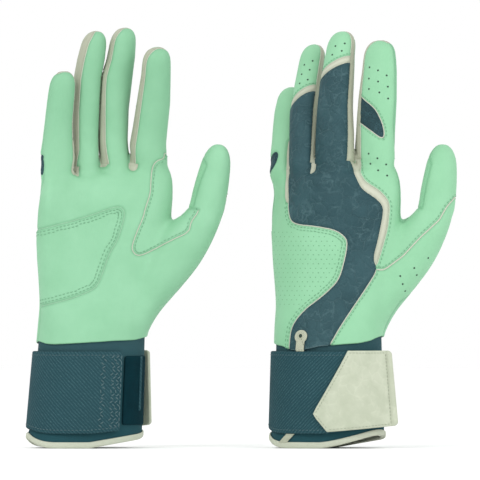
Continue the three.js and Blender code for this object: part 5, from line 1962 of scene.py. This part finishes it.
# The pull loop: half its tape's width, and its head's height and radius
TAPE_HALF = 2.75
LOOP_HEAD = 71.5
LOOP_RADIUS = 4.15
LOOP_HEAD_START = 67
# The sleeve's half width that turns a place across into an angle, and the loop's neck
LOOP_HALF_WIDTH = 36.5
LOOP_NECK = 60.0
LOOP_NECK_RAMP = 3.5
LOOP_LIFT = (0.3, 2.5)
LOOP_LIMIT = 0.95
LOOP_LEAST = 0.3
# The tape's middle at the cuff's foot and at the head, and the height below which it slants
TAPE_ENDS = (-17.7, -11.0)
TAPE_SLANT = 0.8
TAPE_SLANT_TOP = 10.5
TAPE_FOOT = 3.2


def tape_middle(z):
    """The pull loop's middle line. Its low end slants to the outer side."""
    return lerp(*TAPE_ENDS, z / LOOP_HEAD) - TAPE_SLANT * max(0.0, TAPE_SLANT_TOP - z)


def loop_place(along, across, offset):
    """Points of the pull loop: along is the height and across is to the thumb's side."""
    x = tape_middle(along) + across
    out = offset + lerp(*LOOP_LIFT, float(smoothstep((along - LOOP_NECK) / LOOP_NECK_RAMP)))
    angle = 270 + np.degrees(np.arcsin(np.clip(x / LOOP_HALF_WIDTH, -LOOP_LIMIT, LOOP_LIMIT)))
    return on_sleeve(angle, along, out + flare(angle, along))


def loop_half(along):
    """Half the pull loop's width: a tape with a round head."""
    head = math.sqrt(max(0.0, LOOP_RADIUS**2 - (along - LOOP_HEAD) ** 2))
    neck = TAPE_HALF if along < LOOP_HEAD else 0.0
    return max(head, neck, LOOP_LEAST)


def sewn(name, side, body, place, runs, outer, material, length=1.7, radius=0.24):
    """Stitches on a strip along runs of (along, across)."""
    points = []
    for run in runs:
        run = np.array(run, float)
        reach = reach_along(run)

        def at(stop, lift=0.0):
            along, across = (float(np.interp(stop, reach, run[:, k])) for k in (0, 1))
            return place(along, np.array([across]), np.array([outer + lift]))[0]

        pitch = length * STITCH_SPACING
        for stop in np.arange(pitch / 2, reach[-1], pitch):
            here = at(stop)
            up = at(stop, STITCH_LOOK_UP) - here
            normal = up / np.linalg.norm(up)
            way = at(stop + STITCH_LOOK_AHEAD) - here
            size = np.linalg.norm(way)
            if size > 1e-6:
                points.append(stitch(here + normal * STITCH_LIFT, way / size, normal, length, radius))
    starts = np.arange(len(points)) * len(points[0])
    faces = [[int(start) + corner for corner in face] for start in starts for face in STITCH_FACES]
    matrix = to_row(side)
    if np.linalg.det(matrix[:3, :3]) < 0:
        faces = [face[::-1] for face in faces]
    points = np.concatenate(points)
    piece = linked(f"{side}_{name}", moved(points, matrix), faces, material)
    store(piece, "rest", points)
    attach(piece, f"{side}_{body}")


def zigzag(along, low, high, half, pitch=1.8):
    """A run of points up the strap, from side to side."""
    stops = np.arange(low, high, pitch)
    return [(along + (half if i % 2 else -half), z) for i, z in enumerate(stops)]


def swept(side, section, name, material, node, drop=1.0):
    """A closed section all round the cuff. Its points are the offset, the share of the height above
    the rim or -1 for the rim itself, and the rise above that place."""
    rings, marks = [], []
    for angle in np.arange(0, 360, 3.0):
        rim = float(rim_height(angle))
        z = np.array([
            rise + (lerp(rim + drop, SLEEVE_HEIGHT, share) if share >= 0 else rim)
            for _, share, rise in section
        ])
        offset = np.array([row[0] for row in section])
        rings.append(on_sleeve(angle, z, offset + flare(angle, z)))
        marks.append(np.stack([np.full_like(z, along_cuff(angle)), z - rim, offset], -1))
    skinned(name, side, rings, marks, material, "hand", node, closed=True)


SLEEVE_SECTION = [(0.0, share, 0.0) for share in np.linspace(0, 0.992, 20)]
SLEEVE_SECTION += [(-0.35, 1.0, 0.0), (-1.1, 1.0, 0.25), (-1.85, 1.0, 0.0)]
SLEEVE_SECTION += [(-2.2, share, 0.0) for share in np.linspace(0.992, 0, 10)]
BINDING_SECTION = [
    (1.0, -1, 3.6), (1.1, -1, 2.6), (1.05, -1, 1.4), (0.85, -1, 0.6), (0.3, -1, 0.1), (-0.5, -1, 0.0),
    (-1.7, -1, 0.0), (-2.5, -1, 0.1), (-3.05, -1, 0.6), (-3.2, -1, 1.4), (-3.2, -1, 2.6),
    (-3.1, -1, 3.6), (-2.75, -1, 3.95), (-2.3, -1, 3.7), (-2.25, -1, 1.05), (0.05, -1, 1.05),
    (0.1, -1, 3.7), (0.55, -1, 4.0),
]


# Along the strap: the rows of stitches are this far from its edges, and its end has these bars
STRAP_SECTIONS = 110
# Added to the end of a range that has to hold its last stop
END_MARGIN = 0.01
STRAP_STITCH = 2.4
STRAP_ROW_MARGIN = 3
ROW_STEP = 1.5
STRAP_BARS = (3.4, 6.6, 13.2)
STRAP_EDGE_BAR = 1.3
STRAP_BAR_HALF = 1.15
STRAP_BAR_CLEARANCE = 2
# The rib on the loop patch: its angle, half its width, its heights and its offsets
RIB_ANGLE = 30.0
RIB_HALF = 1.1
RIB_HEIGHTS = (24.0, 59.0)
RIB_OFFSETS = (1.0, 1.9)


def cuff(side):
    swept(side, SLEEVE_SECTION, "cuff_sleeve_knit", sleeve_cloth, "cuff_sleeve")
    swept(side, BINDING_SECTION, "cuff_binding_tape", edge_tape, "cuff_binding")
    strap(side)
    loop_patch(side)
    pull_loop(side)
    eyelet(side)
    tab(side)


def strap(side):
    """The elastic strap, with a row of stitches along each edge and bars at its sewn end."""
    start, end = along_cuff(STRAP_ANGLES[0]), along_cuff(STRAP_ANGLES[1])
    stops = np.arange(start, end + END_MARGIN, (end - start) / STRAP_SECTIONS)
    rings, marks = slab(
        round_cuff, stops, strap_low, lambda a: STRAP_TOP, STRAP_INSIDE, STRAP_OUTSIDE, corner=2.0
    )
    skinned("wrist_strap_elastic", side, rings, marks, strap_cloth, "hand", "wrist_strap")

    def stitches(name, runs, length, radius):
        sewn(name, side, "hand", round_cuff, runs, STRAP_OUTSIDE, strap_thread, length, radius)

    level = np.arange(start + STRAP_ROW_MARGIN, end - STRAP_ROW_MARGIN, ROW_STEP)
    rows = [[(a, STRAP_TOP - STRAP_STITCH) for a in level]]
    rows += [[(a, strap_low(a) + STRAP_STITCH) for a in level]]
    stitches("strap_stitches", rows, length=1.6, radius=0.2)
    low, high = strap_low(start) + STRAP_BAR_CLEARANCE, STRAP_TOP - STRAP_BAR_CLEARANCE
    bars = [zigzag(start + shift, low, high, STRAP_BAR_HALF) for shift in STRAP_BARS]
    bars += [[(start + STRAP_EDGE_BAR, low), (start + STRAP_EDGE_BAR, high)]]
    stitches("strap_end_stitches", bars, length=2.4, radius=0.36)


def loop_patch(side):
    """The loop fastener on the palm's side, with a rib that shows where the tab is pulled to."""
    stops = np.linspace(*(along_cuff(angle) for angle in LOOP_ANGLES), 30)
    outer = SEAM_GAP + LOOP_THICKNESS
    rings, marks = slab(
        round_cuff, stops, lambda a: LOOP_LOW, lambda a: LOOP_TOP, SEAM_GAP, outer, corner=1.5
    )
    skinned("loop_patch_pile", side, rings, marks, pile, "hand", "loop_patch")
    rib = along_cuff(RIB_ANGLE)
    stops = np.linspace(rib - RIB_HALF, rib + RIB_HALF, 7)
    low, high = RIB_HEIGHTS
    rings, marks = slab(round_cuff, stops, lambda a: low, lambda a: high, *RIB_OFFSETS, corner=0.9)
    skinned("loop_patch_rib", side, rings, marks, strap_cloth, "hand")


def pull_loop(side):
    """The pull loop's tape, with closer sections round its head."""
    tape = np.linspace(TAPE_FOOT, LOOP_HEAD_START, 34)
    head = np.linspace(LOOP_HEAD_START, LOOP_HEAD + LOOP_RADIUS, 24)
    rings, marks = slab(
        loop_place, np.unique(np.concatenate([tape, head])), lambda a: -loop_half(a), loop_half,
        0.0, TAPE_THICKNESS, corner=0.4, columns=10,
    )
    skinned("pull_loop_tape", side, rings, marks, tape_cloth, "hand", "pull_loop")


# The eyelet: its height above the loop's head's middle, how much it is longer than wide, and the
# shares of its hole's radius and the heights of its rim's section and of its dark bottom, which is painted
# shade
EYELET_RISE = 0.4
EYELET_STRETCH = 1.15
EYELET_RIM = ((0.9, 0.72), (1.0, 1.1), (1.35, 1.22), (1.7, 1.05))
EYELET_BOTTOM = 1.08
EYELET_SIDES = 24
EYELET_BOTTOM_SIDES = 16
# The crease beside it, a row of small grains whose dark colour is painted shade in the fold: their first
# place along and across, the step to the next, and their count
CREASE_START = (LOOP_HEAD - 1.0, 0.55)
CREASE_STEP = (0.45, 0.22)
CREASE_COUNT = 10


def eyelet_place(reach, turn, rise):
    along = LOOP_HEAD + EYELET_RISE + reach * EYELET_STRETCH * math.sin(turn)
    return loop_place(along, np.array([reach * math.cos(turn)]), np.array([rise]))[0]


def turns(count):
    return np.radians(np.linspace(0, 360, count, endpoint=False))


def eyelet(side):
    """The pull loop's eyelet, with the crease where its tape is folded over."""
    rim = [
        np.array([eyelet_place(EYELET_HOLE * share, turn, rise) for share, rise in EYELET_RIM])
        for turn in turns(EYELET_SIDES)
    ]
    marks = [np.zeros((len(EYELET_RIM), 3))] * len(rim)
    skinned("pull_loop_eyelet", side, rim, marks, tape_cloth, "hand", closed=True)
    # The hole's dark bottom is painted shade
    around = turns(EYELET_BOTTOM_SIDES)
    bottom = [
        np.array([eyelet_place(EYELET_HOLE * share, turn, EYELET_BOTTOM) for turn in around])
        for share in (0.05, 1.0)
    ]
    marks = [np.zeros((len(around), 3))] * len(bottom)
    skinned("pull_loop_hole", side, bottom, marks, hole_shade, "hand")
    # Painted shade along the tape's fold
    (along, across), (down, aside) = CREASE_START, CREASE_STEP
    crease = [[(along - down * i, across + aside * i) for i in range(CREASE_COUNT)]]
    sewn(
        "pull_loop_crease", side, "hand", loop_place, crease, TAPE_THICKNESS, tape_shade,
        length=1.2, radius=0.2,
    )


# The hook patch under the tab: its size, its offsets and how far it is from the tab's end
HOOK_WIDTH = 17
HOOK_HALF_HEIGHT = 20
HOOK_OFFSETS = (-1.5, -0.3)
HOOK_MARGIN = 5.5


def tab(side):
    """The leather tab with its stitches, and the hook fastener under it."""
    path = TabPath(side)
    stops = np.arange(0, TAB_LENGTH + END_MARGIN, 0.55)
    rings, marks = slab(
        path.place, stops, tab_low, tab_high, 0.0, TAB_THICKNESS, corner=2.6, fold=tab_fold, columns=34
    )
    skinned("strap_tab_leather", side, rings, marks, tab_leather, "tab", "strap_tab")
    inset = TAB_STITCH
    limit = TAB_LENGTH - TAB_HEM - 1
    bottom = [(a, tab_low(a) + inset) for a in np.arange(10, limit, 1.2)]
    top = [(a, tab_high(a) - inset) for a in np.arange(23.4, limit, 1.2)]
    slant = [(a, tab_high(a) - inset * 2.2) for a in np.arange(1.9, 23.0, 0.8)]
    under = [(a, tab_low(a) + inset * 1.6) for a in np.arange(1.9, 9.5, 0.8)]
    last = TAB_LENGTH - TAB_HEM - 1.1
    edge = [(last, z) for z in np.arange(tab_low(last) + inset, tab_high(last) - inset, ROW_STEP)]
    sewn(
        "tab_stitches", side, "tab", path.place, [bottom, top, slant, under, edge],
        TAB_THICKNESS, tab_thread, length=1.5, radius=0.19,
    )
    middle = (tab_low(TAB_LENGTH) + tab_high(TAB_LENGTH)) / 2
    low, high = middle - HOOK_HALF_HEIGHT, middle + HOOK_HALF_HEIGHT
    stops = np.linspace(TAB_LENGTH - HOOK_MARGIN - HOOK_WIDTH, TAB_LENGTH - HOOK_MARGIN, 18)
    rings, marks = slab(path.place, stops, lambda a: low, lambda a: high, *HOOK_OFFSETS, corner=1.5)
    skinned("hook_patch_hooks", side, rings, marks, pile, "tab", "hook_patch")


for side in ORIGINS:
    cuff(side)


# Stage

world = bpy.data.worlds.new("studio")
bpy.context.scene.world = world
world.use_nodes = True
background = world.node_tree.nodes["Background"]
background.inputs["Color"].default_value = (1, 1, 1, 1)
background.inputs["Strength"].default_value = 1.0


def light(name, place, target, size, power):
    """A round studio light."""
    data = bpy.data.lights.new(name, "AREA")
    data.shape = "DISK"
    data.size = size
    data.energy = power
    lamp = bpy.data.objects.new(name, data)
    lamp.location = place
    lamp.rotation_euler = (Vector(target) - Vector(place)).to_track_quat("-Z", "Y").to_euler()
    bpy.context.scene.collection.objects.link(lamp)


GLOVES_MIDDLE = (0, 0, 0.13)
light("key", (-0.9, -1.3, 1.3), GLOVES_MIDDLE, 1.0, 12.2)
light("fill", (1.2, -1.2, 0.7), GLOVES_MIDDLE, 1.2, 7.8)

floor_material = Nodes("floor").finish((1, 1, 1, 1), 0.9, (0, 0, 0))
FLOOR_REACH = 5.0
corners = [(x, y, 0) for x, y in ((-1, -1), (1, -1), (1, 1), (-1, 1))]
floor = linked("floor", np.array(corners) * FLOOR_REACH, [[0, 1, 2, 3]], floor_material)
floor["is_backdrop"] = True

CAMERA_DISTANCE = 8.0
# The photograph's scale holds at this depth, near the gloves' front faces
NEAR_FACE = -0.02
IMAGE_PIXELS = 480
SENSOR = 36.0
middle_x = (ORIGINS["left"][0] + (IMAGE_PIXELS / 2 - LEFT_COLUMN) * PIXEL) * MM
middle_z = (GROUND_ROW - IMAGE_PIXELS / 2) * PIXEL * MM
camera_data = bpy.data.cameras.new("camera")
camera_data.sensor_width = SENSOR
camera_data.lens = SENSOR * (CAMERA_DISTANCE + NEAR_FACE) / (IMAGE_PIXELS * PIXEL * MM)
camera_data.clip_end = 20
camera = bpy.data.objects.new("camera", camera_data)
camera.location = (middle_x, -CAMERA_DISTANCE, middle_z)
camera.rotation_euler = (math.radians(90), 0, 0)
bpy.context.scene.collection.objects.link(camera)
bpy.context.scene.camera = camera
bpy.context.scene.view_settings.view_transform = "Standard"

visual_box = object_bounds()
boxes = {"cad": cad_box, "visual": visual_box}
sizes = {name: [[float(v) for v in row] for row in box] for name, box in boxes.items()}
